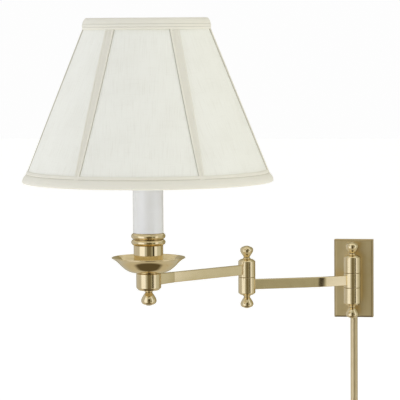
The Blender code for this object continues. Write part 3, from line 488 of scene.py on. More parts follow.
def woven(name, base, slub_colour, thread, sheen):
    """Plain-weave linen: warp and weft threads that pass over and under, with slubs in both directions."""
    made, tree = new_material(name)
    if tree is None:
        return made
    flat, across, down = tree.cut_parts()
    wobble = tree.noise(flat, 320.0, 2.0) * (thread * 0.9)
    turn = math.pi / thread
    warp = ((across + wobble) * turn).math("SINE")
    weft = ((down + wobble) * turn).math("SINE")
    over = (warp * weft).rise(-0.35, 0.35)
    cloth = abs(warp) * over + abs(weft) * (1 - over)
    warp_slub = tree.noise(tree.stretched(flat, (820.0, 38.0, 1.0)), detail=2.0).rise(0.46, 0.78)
    weft_slub = tree.noise(tree.stretched(flat, (44.0, 760.0, 1.0)), detail=2.0).rise(0.52, 0.84)
    hand = tree.noise(flat, 24.0, 3.0)
    slubs = (warp_slub * 0.75 + weft_slub * 0.5).math("MINIMUM", 1.0)
    shade = slubs * 0.5 + (1 - cloth) * 0.28 + hand.rise(0.4, 0.8) * 0.22
    tree.surface(Base_Color=tree.blend(shade, base, slub_colour), Roughness=0.92 - cloth * 0.1,
                 Sheen_Weight=sheen, Sheen_Roughness=0.5, Specular_IOR_Level=0.25,
                 Normal=tree.bump(cloth * 0.6 + slubs * 0.5, 0.14 * MM, 0.7))
    return made


def linen():
    shade = bpy.context.scene.sconce_shade
    return woven("shade_linen", shade.linen, shade.slub, shade.thread, 0.12)


def trim_cloth():
    """The bias strips round the edges and over the ribs, of the same linen, with pressed folds along them."""
    made, tree = new_material("trim_cloth")
    if tree is None:
        return made
    shade = bpy.context.scene.sconce_shade
    flat, across, down = tree.cut_parts()
    turn = 0.72 * math.pi / shade.thread
    bias = ((across + down) * turn).math("SINE") * ((across - down) * turn).math("SINE")
    folds = tree.noise(tree.stretched(flat, (14.0, 520.0, 1.0)), detail=2.0)
    hand = tree.noise(flat, 60.0, 3.0)
    # Painted shade: negative marks darken the trims' hollows and the tapes' edges and middles.
    painted_crease_shade = (tree.mark("wear_and_shade") * -1.0).rise(0.04, 1.0)
    shadow = folds.rise(0.45, 0.8) * 0.55 + hand.rise(0.4, 0.8) * 0.3
    base = tree.blend(painted_crease_shade * 0.85, tree.blend(shadow, shade.trim, shade.slub), shade.painted_crease_shade)
    tree.surface(Base_Color=base, Roughness=0.9 - abs(bias) * 0.08,
                 Sheen_Weight=0.12, Sheen_Roughness=0.5, Specular_IOR_Level=0.25,
                 Normal=tree.bump(abs(bias) * 0.3 + folds * 1.1, 0.22 * MM, 0.8))
    return made


SLOT_MATERIALS = {
    "plate_brass": plate_brass, "satin_brass": turned_brass, "polished_brass": polished_brass,
    "steel": steel, "aluminium": aluminium, "white_steel": white_enamel, "nylon": nylon,
    "lead": lead_cover, "phenolic": phenolic, "candle_white": sleeve_white, "bulb_glass": bulb_frost,
    "shade_linen": linen, "shade_trim": trim_cloth, "shade_styrene": styrene,
}


# ---------------------------------------------------------------- profiles

def arc(centre_r, centre_z, radius, start, end, count=12):
    """Points on an arc of a profile, from start to end degrees, counted from +r towards +z."""
    turns = [math.radians(start + (end - start) * i / count) for i in range(count + 1)]
    return [(centre_r + radius * math.cos(a), centre_z + radius * math.sin(a)) for a in turns]


def eased(points, reach, count=5, closed=False):
    """The profile with each corner rounded over the reach, or over the third value that a point brings."""
    out = []
    total = len(points)
    for i, point in enumerate(points):
        here = Vector(point[:2])
        if not closed and i in (0, total - 1):
            out.append(tuple(here))
            continue
        before = Vector(points[i - 1][:2])
        after = Vector(points[(i + 1) % total][:2])
        wanted = point[2] if len(point) > 2 else reach
        room = min((before - here).length, (after - here).length) * 0.49
        cut = min(wanted, room)
        if cut < 1e-6:
            out.append(tuple(here))
            continue
        first = here + (before - here).normalized() * cut
        last = here + (after - here).normalized() * cut
        for step in range(count + 1):
            t = step / count
            out.append(tuple(first * (1 - t) ** 2 + here * 2 * t * (1 - t) + last * t ** 2))
    return out


def flowing(points, count=6, closed=False):
    """A smooth curve through the points."""
    out = []
    total = len(points)
    spans = total if closed else total - 1
    for i in range(spans):
        if closed:
            a, b, c, d = (Vector(points[(i + k) % total]) for k in (-1, 0, 1, 2))
        else:
            a, b, c, d = (Vector(points[min(max(i + k, 0), total - 1)]) for k in (-1, 0, 1, 2))
        for step in range(count):
            t = step / count
            at = 0.5 * (2 * b + (c - a) * t + (2 * a - 5 * b + 4 * c - d) * t ** 2
                        + (3 * b - 3 * c + d - a) * t ** 3)
            out.append(tuple(at))
    if not closed:
        out.append(tuple(points[-1]))
    return out


def held(points, closed, reach=0.5 * MM):
    """The profile with extra points near both ends of its long stretches, so the wear and shade marks stay at the
    corners.
    """
    out = []
    total = len(points)
    for i in range(total if closed else total - 1):
        here, there = Vector(points[i]), Vector(points[(i + 1) % total])
        out.append(tuple(here))
        if (there - here).length > 3 * reach:
            step = (there - here).normalized() * reach
            out += [tuple(here + step), tuple(there - step)]
    if not closed:
        out.append(tuple(points[-1]))
    return out


def bends(points, closed, sharpest=0.8 * MM):
    """How sharply a profile bends at each point: 1 on an edge of the sharpest radius, -1 in a hollow of that
    radius.
    """
    out = []
    total = len(points)
    for i in range(total):
        if not closed and i in (0, total - 1):
            out.append(0.0)
            continue
        into = Vector(points[i]) - Vector(points[i - 1])
        away = Vector(points[(i + 1) % total]) - Vector(points[i])
        if into.length < 1e-9 or away.length < 1e-9:
            out.append(0.0)
            continue
        turned_by = math.atan2(into.x * away.y - into.y * away.x, into.dot(away))
        bend = 2 * turned_by / (into.length + away.length) * sharpest
        out.append(max(-1.0, min(1.0, bend)))
    return out


# ---------------------------------------------------------------- mesh makers

def new_piece(name, build, sharp=35.0, at=None):
    """Turns a finished bmesh into a named object, shaded smooth between its sharp edges."""
    bmesh.ops.recalc_face_normals(build, faces=build.faces)
    mesh = bpy.data.meshes.new(name)
    build.to_mesh(mesh)
    build.free()
    mesh.shade_smooth()
    mesh.set_sharp_from_angle(angle=math.radians(sharp))
    piece = bpy.data.objects.new(name, mesh)
    bpy.context.scene.collection.objects.link(piece)
    if at is not None:
        piece.matrix_world = at
    return piece


def stand(at, turn=0.0):
    """A place with its Z upright, turned about it."""
    return Matrix.Translation(at) @ Matrix.Rotation(turn, 4, "Z")


def facing(at, direction):
    """A place whose Z points along a direction."""
    return Matrix.Translation(at) @ Vector(direction).to_track_quat("Z", "Y").to_matrix().to_4x4()


def lathe(name, profile, at, steps=96, closed=False, sharp=35.0):
    """A turned piece. The profile runs up its outer side, from bottom to top, and a closed one is a ring."""
    build = bmesh.new()
    # Marks for worn edges and for hollows: the hollows take groove polish on brass and painted shade on cloth.
    wear_and_shade = build.verts.layers.float.new("wear_and_shade")
    cut = build.loops.layers.uv.new("cut")
    profile = held(profile, closed)
    marks = bends(profile, closed)
    rings = []
    run = [0.0]
    for i in range(1, len(profile) + 1):
        gap = (Vector(profile[i % len(profile)]) - Vector(profile[i - 1])).length
        run.append(run[-1] + gap)
    widest = max(r for r, z in profile)
    for (r, z), mark in zip(profile, marks):
        if r < 1e-7:
            ring = [build.verts.new((0.0, 0.0, z))]
        else:
            ring = [build.verts.new((r * math.cos(TURN * k / steps), r * math.sin(TURN * k / steps), z))
                    for k in range(steps)]
        for vert in ring:
            vert[wear_and_shade] = mark
        rings.append(ring)
    spans = len(rings) if closed else len(rings) - 1
    for i in range(spans):
        below, above = rings[i], rings[(i + 1) % len(rings)]
        for k in range(steps):
            corners = [(below, k, i), (below, k + 1, i), (above, k + 1, i + 1), (above, k, i + 1)]
            verts, flat = [], []
            for ring, column, row in corners:
                vert = ring[column % len(ring)]
                if vert not in verts:
                    verts.append(vert)
                    flat.append((column / steps * TURN * widest, run[row]))
            if len(verts) > 2:
                face = build.faces.new(verts)
                for loop, place in zip(face.loops, flat):
                    loop[cut].uv = place
    return new_piece(name, build, sharp, at)


def loft(name, rings, at, marks=None, ring_marks=None, sharp=35.0):
    """A skin over rings of points, with a flat face on each end. The marks run round each ring, or from one
    ring to the next."""
    build = bmesh.new()
    wear_and_shade = build.verts.layers.float.new("wear_and_shade")
    made = []
    count = len(rings[0])
    marks = marks or [0.0] * count
    ring_marks = ring_marks or [0.0] * len(rings)
    for ring, whole in zip(rings, ring_marks):
        verts = [build.verts.new(point) for point in ring]
        for vert, mark in zip(verts, marks):
            vert[wear_and_shade] = mark + whole
        made.append(verts)
    for first, second in zip(made, made[1:]):
        for k in range(count):
            build.faces.new((first[k], first[(k + 1) % count], second[(k + 1) % count], second[k]))
    build.faces.new(made[0])
    build.faces.new(made[-1])
    return new_piece(name, build, sharp, at)


def rounded_box(width, height, radius, count=5):
    """The outline of a rectangle with round corners, and the marks of its worn edges."""
    points, marks = [], []
    corners = ((1, 1, 0), (-1, 1, 90), (-1, -1, 180), (1, -1, 270))
    for sx, sy, start in corners:
        cx, cy = sx * (width / 2 - radius), sy * (height / 2 - radius)
        for x, y in arc(cx, cy, radius, start, start + 90, count):
            points.append((x, y))
        marks += [0.3] + [1.0] * (count - 1) + [0.3]
    return points, marks


def bar(name, path, sizes, radius, at):
    """A flat bar along a path in its own XY plane. Each point of the path has a width and a height."""
    rings = []
    marks = None
    for i, point in enumerate(path):
        before = Vector(path[max(i - 1, 0)])
        after = Vector(path[min(i + 1, len(path) - 1)])
        along = (after - before).normalized()
        side = Vector((-along.y, along.x, 0.0))
        width, height = sizes[i]
        outline, marks = rounded_box(width, height, min(radius, width * 0.45))
        rings.append([Vector((*point, 0.0)) + side * x + Vector((0.0, 0.0, y)) for x, y in outline])
    return loft(name, rings, at, marks)


def wire(name, points, radius, at, cyclic=False):
    """A round wire through points, as a mesh with closed ends."""
    curve = bpy.data.curves.new(name + "_line", "CURVE")
    curve.dimensions = "3D"
    curve.bevel_depth = radius
    curve.bevel_resolution = 3
    curve.use_fill_caps = not cyclic
    spline = curve.splines.new("POLY")
    spline.points.add(len(points) - 1)
    for knot, place in zip(spline.points, points):
        knot.co = (*place, 1.0)
    spline.use_cyclic_u = cyclic
    holder = bpy.data.objects.new(name + "_line", curve)
    bpy.context.scene.collection.objects.link(holder)
    bpy.context.view_layer.update()
    mesh = bpy.data.meshes.new_from_object(holder.evaluated_get(bpy.context.evaluated_depsgraph_get()))
    bpy.data.objects.remove(holder, do_unlink=True)
    build = bmesh.new()
    build.from_mesh(mesh)
    bpy.data.meshes.remove(mesh)
    bmesh.ops.remove_doubles(build, verts=build.verts, dist=1e-6)
    return new_piece(name, build, 50.0, at)


def settle(piece, material, body, slot, *nodes):
    """Gives a finished piece its material, its body and the frame's nodes that it stands for. The slot is not
    used.
    """
    piece.data.materials.append(material)
    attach(piece, body)
    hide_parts(*nodes)


# ---------------------------------------------------------------- wall side

def plate_ring(inset, depth, corner=0.9 * MM):
    """One ring round the wall plate, some way in from its edge and some way off the wall."""
    width, height = size_of("back_plate").x, size_of("back_plate").z
    outline, _ = rounded_box(width - 2 * inset, height - 2 * inset, max(corner - inset * 0.2, 0.3 * MM), 4)
    return [(x, -depth, z) for x, z in outline]


def make_wall_plate():
    sizes = bpy.context.scene.sconce_sizes
    depth, bevel, sheet = size_of("back_plate").y, sizes.plate_bevel, sizes.plate_sheet
    outside = [(0.0, 0.0), (0.0, 0.4 * MM), (0.0, depth - bevel, 0.5 * MM), (bevel, depth, 0.7 * MM),
               (bevel + 2.5 * MM, depth)]
    inside = [(bevel + 2.5 * MM, depth - sheet), (bevel + sheet * 0.4, depth - sheet),
              (sheet, depth - bevel - sheet), (sheet, 0.0)]
    rim = eased(outside, 0.3 * MM)
    # Painted shade: the bevel's rings get a negative mark, which darkens them towards the groove colour.
    painted_bevel_shade = [-0.5 if 0.2 * MM < inset < bevel + 0.2 * MM else 0.0 for inset, _ in inside + rim]
    rings = [plate_ring(*step) for step in inside + rim]
    return loft("wall_plate", rings, Matrix.Identity(4), ring_marks=painted_bevel_shade, sharp=32.0)


class SCONCE_OT_wall_plate(bpy.types.Operator):
    """The bevelled wall plate and the two turned posts that stand on it"""
    bl_idname = "sconce.wall_plate"
    bl_label = "Wall plate"

    def execute(self, context):
        settle(make_wall_plate(), plate_brass(), "wall_bracket", "plate_brass", "back_plate")
        sizes = context.scene.sconce_sizes
        face = low_of("back_plate").y
        reach = face - WALL_PIVOT.y - KNUCKLE_RADIUS + 2.0 * MM
        flare = sizes.post_radius + 1.6 * MM
        profile = [(0.0, 0.0), (flare, 0.0), (flare, 1.4 * MM), (sizes.post_radius, 2.6 * MM),
                   (sizes.post_radius, reach), (0.0, reach)]
        for side in ("upper", "lower"):
            level = middle_of("post_" + side).z
            at = facing((0.0, face, level), (0.0, -1.0, 0.0))
            post = lathe(side + "_post", eased(profile, 0.5 * MM), at, 64)
            settle(post, turned_brass(), "wall_bracket", "satin_brass", "post_" + side)
        return {"FINISHED"}


def knuckle_profile(low_open, high_open):
    """A pivot knuckle about its middle. A closed end has a domed shoulder, and an open end a fine chamfer."""
    half = HALF_KNUCKLE
    radius = KNUCKLE_RADIUS
    seam = 0.35 * MM
    top = half + SHOULDER
    shoulder = [(radius, top - 2.9 * MM, 0.8 * MM), (9.4 * MM, top - 1.7 * MM, 1.0 * MM),
                (7.9 * MM, top - 0.7 * MM, 0.9 * MM), (5.9 * MM, top, 0.5 * MM), (0.0, top)]
    plain = [(radius, half - seam, 0.15 * MM), (radius - seam, half, 0.15 * MM), (0.0, half)]
    upper = plain if high_open else shoulder
    lower = plain if low_open else shoulder
    flipped = [(point[0], -point[1], *point[2:]) for point in reversed(lower)]
    return eased(flipped + upper, 0.3 * MM, 4)


class SCONCE_OT_knuckles(bpy.types.Operator):
    """The five turned knuckles of the wall pivot and the elbow"""
    bl_idname = "sconce.knuckles"
    bl_label = "Pivot knuckles"

    def execute(self, context):
        step = ELBOW.z - FAR_LEVEL
        wall = (WALL_PIVOT.x, WALL_PIVOT.y)
        elbow = (ELBOW.x, ELBOW.y)
        rows = (
            ("wall_barrel_upper", "wall_knuckle_upper", "wall_bracket", wall, FAR_LEVEL + step, True, False),
            ("wall_barrel_middle", "far_arm_wall_hub", "far_arm", wall, FAR_LEVEL, True, True),
            ("wall_barrel_lower", "wall_knuckle_lower", "wall_bracket", wall, FAR_LEVEL - step, False, True),
            ("elbow_barrel_lower", "elbow_knuckle_lower", "far_arm", elbow, FAR_LEVEL, False, True),
            ("elbow_barrel_upper", "elbow_knuckle_upper", "near_arm", elbow, NEAR_LEVEL, True, False),
        )
        for name, node, body, (x, y), level, low_open, high_open in rows:
            barrel = lathe(name, knuckle_profile(low_open, high_open), stand((x, y, level)), 96)
            settle(barrel, turned_brass(), body, "satin_brass", node)
        return {"FINISHED"}


def finial_profile(radius, height):
    """A knob from its neck up: a bead, a cone that widens, a round crown and a small button."""
    neck = [(0.54, 0.0), (0.58, 0.045), (0.53, 0.085), (0.46, 0.12), (0.49, 0.17), (0.62, 0.265),
            (0.79, 0.395), (0.92, 0.52), (0.985, 0.615), (1.0, 0.69), (0.96, 0.775), (0.84, 0.86),
            (0.66, 0.915), (0.47, 0.94), (0.41, 0.962), (0.30, 0.986), (0.14, 0.998), (0.0, 1.0)]
    curve = flowing([(r * radius, z * height) for r, z in neck], 4)
    return [(0.0, -0.5 * MM), (0.5 * radius, -0.5 * MM)] + curve[:-1] + [(0.0, height)]


class SCONCE_OT_finials(bpy.types.Operator):
    """The polished finials on both ends of each pivot and under the head"""
    bl_idname = "sconce.finials"
    bl_label = "Finials"

    def execute(self, context):
        sizes = context.scene.sconce_sizes
        rows = (
            ("wall_knob_top", "wall_finial_top", "wall_bracket", WALL_PIVOT,
             high_of("wall_knuckle_upper"), 1),
            ("wall_knob_bottom", "wall_finial_bottom", "wall_bracket", WALL_PIVOT,
             low_of("wall_knuckle_lower"), -1),
            ("elbow_knob_top", "elbow_finial_top", "far_arm", ELBOW,
             high_of("elbow_knuckle_upper"), 1),
            ("elbow_knob_bottom", "elbow_finial_bottom", "far_arm", ELBOW,
             low_of("elbow_knuckle_lower"), -1),
            ("head_knob", "head_finial", "near_arm", HEAD, low_of("head_hub"), -1),
        )
        for name, node, body, pivot, end, way in rows:
            height = HEAD_FINIAL_HEIGHT if node == "head_finial" else FINIAL_HEIGHT
            radius = sizes.finial_radius * height / FINIAL_HEIGHT
            at = facing((pivot.x, pivot.y, end.z), (0.0, 0.0, way))
            knob = lathe(name, finial_profile(radius, height), at, 72)
            settle(knob, polished_brass(), body, "polished_brass", node)
        return {"FINISHED"}


# ---------------------------------------------------------------- arms

def far_path(sizes):
    """The far bar's centre line in its arm's own frame: out of the wall pivot at an angle, then bent."""
    start = Vector((KNUCKLE_RADIUS - BITE, 0.0))
    turn, distance = sizes.bend_angle, sizes.bend_distance
    direction = Vector((math.cos(turn), math.sin(turn)))
    corner = direction * distance
    end = Vector((FAR_LENGTH, 0.0))
    last = end + (corner - end).normalized() * (KNUCKLE_RADIUS - BITE)
    reach = 7 * MM
    first = corner - direction * reach
    beyond = corner + (end - corner).normalized() * reach
    curve = []
    for step in range(13):
        t = step / 12
        curve.append(first * (1 - t) ** 2 + corner * 2 * t * (1 - t) + beyond * t ** 2)
    return [tuple(p) for p in [direction * start.x] + curve + [last]]


def end_taper(edge):
    """How a bar's cut end is softened: distances from the end and how much smaller it is there."""
    return [(0.0, edge), (0.12 * edge, 0.45 * edge), (0.5 * edge, 0.1 * edge), (edge, 0.0)]


class SCONCE_OT_arms(bpy.types.Operator):
    """The far bar with its bend, the near bar, and the head's tapered stub that the near bar butts on"""
    bl_idname = "sconce.arms"
    bl_label = "Arms"

    def execute(self, context):
        sizes = context.scene.sconce_sizes
        edge = context.scene.sconce_metal.edge
        width, height = sizes.bar_width, BAR_HEIGHT
        path = far_path(sizes)
        far = bar("far_bar", path, [(width, height)] * len(path), edge,
                  stand((WALL_PIVOT.x, WALL_PIVOT.y, FAR_LEVEL), FAR_TURN))
        settle(far, brushed_bar_brass(), "far_arm", "satin_brass", "far_arm_bar")

        stub_way = Vector((-math.cos(sizes.stub_angle), -math.sin(sizes.stub_angle)))
        joint = Vector((NEAR_LENGTH, 0.0)) + stub_way * sizes.stub_length
        line = joint.normalized()
        softened = end_taper(0.45 * MM)
        path = [tuple(line * (KNUCKLE_RADIUS - BITE))]
        shape = [(width, height)]
        for back, less in reversed(softened):
            path.append(tuple(joint - line * (0.2 * MM + back)))
            shape.append((width - 2 * less, height - 2 * less))
        near = bar("near_bar", path, shape, edge, stand((ELBOW.x, ELBOW.y, NEAR_LEVEL), NEAR_TURN))
        settle(near, brushed_bar_brass(), "near_arm", "satin_brass", "near_arm_bar")

        inside = sizes.hub_radius - BITE
        swell = 1.09
        path, shape = [], []
        for back, less in softened:
            path.append((sizes.stub_length - back, 0.0))
            shape.append((width + 0.3 * MM - 2 * less, height + 0.2 * MM - 2 * less))
        path.append((inside, 0.0))
        shape.append((width + 0.5 * MM, height * swell))
        stub = bar("head_stub", path, shape, edge, stand(HEAD, NEAR_TURN + math.pi + sizes.stub_angle))
        settle(stub, brushed_bar_brass(), "near_arm", "satin_brass", "head_hub")
        return {"FINISHED"}


# ---------------------------------------------------------------- head

class SCONCE_OT_hub(bpy.types.Operator):
    """The turned hub below the pan, with a chamfer at its foot"""
    bl_idname = "sconce.hub"
    bl_label = "Hub"

    def execute(self, context):
        radius = context.scene.sconce_sizes.hub_radius
        chamfer = 3.0 * MM
        profile = [(0.0, HUB_LOW), (radius - chamfer, HUB_LOW, 0.6 * MM),
                   (radius, HUB_LOW + chamfer, 0.8 * MM), (radius, HUB_HIGH - 0.8 * MM, 0.3 * MM),
                   (radius - 0.8 * MM, HUB_HIGH, 0.3 * MM), (0.0, HUB_HIGH)]
        hub = lathe("hub", eased(profile, 0.3 * MM, 5), stand(HEAD), 96)
        settle(hub, turned_brass(), "near_arm", "satin_brass", "head_hub")
        return {"FINISHED"}


def pan_shape():
    """The pan's underside from its middle out to its rolled rim, then its inside back to the middle."""
    sheet = 1.0 * MM
    low = PAN_LOW
    rise = PAN_RIM - low
    under = [(0.0, 0.0), (0.24, 0.0), (0.37, 0.015), (0.52, 0.09), (0.645, 0.26), (0.76, 0.50), (0.83, 0.675),
             (0.88, 0.775), (0.925, 0.85), (0.965, 0.91), (0.99, 0.95)]
    curve = flowing([(r * PAN_RADIUS, low + z * rise) for r, z in under], 5)
    roll = 0.7 * MM
    rim = arc(PAN_RADIUS - roll, PAN_RIM - roll, roll, -30, 125, 10)
    inside = []
    for i in range(len(curve) - 3, 0, -1):
        along = (Vector(curve[i + 1]) - Vector(curve[i - 1])).normalized()
        inside.append(tuple(Vector(curve[i]) + Vector((-along.y, along.x)) * sheet))
    inside = [point for point in inside if point[0] > 2 * MM]
    return curve[:-1] + rim + inside + [(0.0, low + sheet)]


class SCONCE_OT_pan(bpy.types.Operator):
    """The spun pan under the candle, with a flared lip and a rolled rim"""
    bl_idname = "sconce.pan"
    bl_label = "Pan"

    def execute(self, context):
        pan = lathe("drip_pan", pan_shape(), stand(HEAD), 128, sharp=50.0)
        settle(pan, polished_brass(), "near_arm", "polished_brass", "pan")
        return {"FINISHED"}


def ferrule_shape(sizes):
    """A cup with two beads round its mouth and a spigot inside the sleeve."""
    low = base_of("candle_ferrule")
    high = top_of("candle_ferrule")
    seat = base_of("candle_sleeve")
    bead = sizes.bead_radius
    centre = sizes.ferrule_radius + 3.0 * MM - bead
    lower_bead = seat - 11.4 * MM
    upper_bead = seat - 4.0 * MM
    spigot, bore, floor = 16.6 * MM, 15.5 * MM, 1.2 * MM
    outside = [(2.0 * MM, low), (sizes.ferrule_radius - 0.6 * MM, low),
               (sizes.ferrule_radius, low + 0.6 * MM),
               (sizes.ferrule_radius, lower_bead - bead - 0.3 * MM)]
    beads = arc(centre, lower_bead, bead, -76, 76, 14) + arc(centre, upper_bead, bead, -76, 70, 14)
    lip = [(sizes.sleeve_radius + 0.2 * MM, seat - 0.5 * MM),
           (sizes.sleeve_radius - 0.3 * MM, seat - 0.1 * MM),
           (spigot, seat - 0.1 * MM), (spigot, high)]
    inside = [(bore, high), (bore, low + floor), (2.0 * MM, low + floor)]
    return outside + beads + lip + inside


class SCONCE_OT_candle(bpy.types.Operator):
    """The beaded brass ferrule and the white sleeve that stands in it"""
    bl_idname = "sconce.candle"
    bl_label = "Candle ferrule and sleeve"

    def execute(self, context):
        sizes = context.scene.sconce_sizes
        ferrule = lathe("beaded_ferrule", ferrule_shape(sizes), stand(HEAD), 112, closed=True, sharp=42.0)
        settle(ferrule, polished_brass(), "near_arm", "polished_brass", "candle_ferrule")
        low = base_of("candle_sleeve")
        high = top_of("candle_sleeve")
        radius, wall = sizes.sleeve_radius, 1.5 * MM
        tube = [(radius - wall, low), (radius, low), (radius, high), (radius - wall, high)]
        sleeve = lathe("white_sleeve", eased(tube, 0.35 * MM, 4, closed=True), stand(HEAD), 112, closed=True)
        settle(sleeve, sleeve_white(), "near_arm", "candle_white", "candle_sleeve")
        return {"FINISHED"}


class SCONCE_OT_lampholder(bpy.types.Operator):
    """The lampholder's cap and shell, the ribbed switch knob and its shaft"""
    bl_idname = "sconce.lampholder"
    bl_label = "Lampholder and switch"

    def execute(self, context):
        radius = context.scene.sconce_sizes.socket_radius
        wall = 0.8 * MM
        low = base_of("socket_cap")
        seam = base_of("socket_shell")
        high = top_of("socket_shell")
        cap = [(5.4 * MM, low), (8.0 * MM, low, 1.5 * MM), (13.5 * MM, low + 2.7 * MM, 2.0 * MM),
               (radius, low + 7.5 * MM, 2.0 * MM), (radius, seam - 0.3 * MM, 0.3 * MM),
               (radius - wall, seam - 0.3 * MM, 0.2 * MM), (radius - wall, low + 8.0 * MM, 2.0 * MM),
               (12.9 * MM, low + 3.5 * MM, 2.0 * MM), (5.4 * MM, low + wall)]
        piece = lathe("lampholder_cap", eased(cap, 0.1 * MM, 5, closed=True), stand(HEAD), 72, closed=True)
        settle(piece, turned_brass(), "near_arm", "satin_brass", "socket_cap")
        bead = seam + 3.2 * MM
        shell = ([(radius - wall, seam), (radius, seam), (radius, bead - 1.0 * MM)]
                 + arc(radius, bead, 0.7 * MM, -80, 80, 8)
                 + [(radius, bead + 1.0 * MM), (radius, high - 1.0 * MM), (radius - 1.0 * MM, high),
                    (radius - 1.8 * MM, high), (radius - wall, high - 1.6 * MM)])
        piece = lathe("lampholder_shell", shell, stand(HEAD), 96, closed=True, sharp=42.0)
        settle(piece, turned_brass(), "near_arm", "satin_brass", "socket_shell")

        start = middle_of("switch_shaft") - SWITCH_AXIS * 10 * MM
        shaft = [(0.0, 0.0), (1.9 * MM, 0.0, 0.3 * MM), (1.9 * MM, 20 * MM, 0.3 * MM), (0.0, 20 * MM)]
        rod = lathe("switch_spindle", eased(shaft, 0.3 * MM), facing(start, SWITCH_AXIS), 32)
        settle(rod, turned_brass(), "switch", "satin_brass", "switch_shaft")
        settle(self.ribbed_knob(), phenolic(), "switch", "phenolic", "switch_knob")
        return {"FINISHED"}

    def ribbed_knob(self):
        """A fluted knob along its own Z, with a plain collar and a domed end."""
        radius, long, flutes = 6.2 * MM, 11.0 * MM, 16
        rows = [(0.62, 0.0), (0.80, 0.02), (0.86, 0.08), (0.86, 0.16), (0.90, 0.20), (1.0, 0.26), (1.0, 0.84),
                (0.95, 0.92), (0.82, 0.975), (0.55, 1.0)]
        rings = []
        for share_out, share_up in rows:
            fluted = 0.24 < share_up < 0.9
            ring = []
            for k in range(flutes * 6):
                turn = TURN * k / (flutes * 6)
                dip = 0.45 * MM * (0.5 - 0.5 * math.cos(turn * flutes)) if fluted else 0.0
                out = radius * share_out - dip
                ring.append((out * math.cos(turn), out * math.sin(turn), long * share_up))
            rings.append(ring)
        inner_end = SWITCH_MIDDLE + SWITCH_AXIS * 19 * MM
        return loft("fluted_knob", rings, facing(inner_end, SWITCH_AXIS), sharp=50.0)


class SCONCE_OT_bulb(bpy.types.Operator):
    """The frosted bulb"""
    bl_idname = "sconce.bulb"
    bl_label = "Bulb"

    def execute(self, context):
        radius = context.scene.sconce_sizes.bulb_radius
        low = base_of("bulb_glass")
        high = top_of("bulb_glass")
        neck = [(11.4 * MM, low), (11.4 * MM, low + 11 * MM), (12.9 * MM, low + 18 * MM),
                (15.2 * MM, low + 28 * MM), (20.2 * MM, low + 40 * MM)]
        crown = arc(0.0, high - radius, radius, -33, 89, 20)
        profile = [(0.0, low)] + flowing(neck + crown, 3)[:-1] + [(0.0, high)]
        bulb = lathe("frosted_bulb", profile, stand(HEAD), 72, sharp=60.0)
        settle(bulb, bulb_frost(), "near_arm", "bulb_glass", "bulb_glass")
        return {"FINISHED"}


# ---------------------------------------------------------------- shade

def cone_radius(height):
    """The linen's outer radius at a height above the near arm."""
    shade = bpy.context.scene.sconce_shade
    up = (height - SHADE_LOW) / (SHADE_HIGH - SHADE_LOW)
    return shade.low_radius + up * (shade.high_radius - shade.low_radius)


def cone_steepness():
    """The sine of the cone's half angle, which turns a panel into its flat cut."""
    shade = bpy.context.scene.sconce_shade
    fall = shade.low_radius - shade.high_radius
    return fall / math.hypot(fall, SHADE_HIGH - SHADE_LOW)


def cut_place(radius, turn):
    """Where a point of the cone lies on the flat cut, in metres."""
    sine = cone_steepness()
    reach = radius / sine
    return (reach * math.sin(turn * sine), -reach * math.cos(turn * sine))


def sheet_on_cone(name, columns, rows, place_of, thickness, middle_turn, sharp=40.0):
    """A closed thin skin about the head. place_of gives its turn from the middle, its height, its rise off
    the linen and its painted crease shade mark at a share of each way."""
    build = bmesh.new()
    cut = build.loops.layers.uv.new("cut")
    wear_and_shade = build.verts.layers.float.new("wear_and_shade")
    skins, flats = [], {}
    for under in (0.0, thickness):
        grid = []
        for row in range(rows + 1):
            line = []
            for column in range(columns + 1):
                turn, height, rise, mark = place_of(column / columns, row / rows)
                out = cone_radius(height) + (rise if not under else -under)
                whole = middle_turn + turn
                vert = build.verts.new((out * math.cos(whole), out * math.sin(whole), height))
                vert[wear_and_shade] = mark
                flats[vert] = cut_place(cone_radius(height), turn)
                line.append(vert)
            grid.append(line)
        skins.append(grid)
    outer, inner = skins
    for grid in skins:
        for row in range(rows):
            for column in range(columns):
                build.faces.new((grid[row][column], grid[row][column + 1], grid[row + 1][column + 1],
                                 grid[row + 1][column]))
    border = ([(0, c) for c in range(columns)] + [(r, columns) for r in range(rows)]
              + [(rows, c) for c in range(columns, 0, -1)] + [(r, 0) for r in range(rows, 0, -1)])
    for (r1, c1), (r2, c2) in zip(border, border[1:] + border[:1]):
        build.faces.new((outer[r1][c1], inner[r1][c1], inner[r2][c2], outer[r2][c2]))
    for face in build.faces:
        for loop in face.loops:
            loop[cut].uv = flats[loop.vert]
    return new_piece(name, build, sharp, stand(HEAD))


def rib_turn(number):
    shade = bpy.context.scene.sconce_shade
    return NEAR_TURN + shade.first_rib + TURN * number / shade.panels


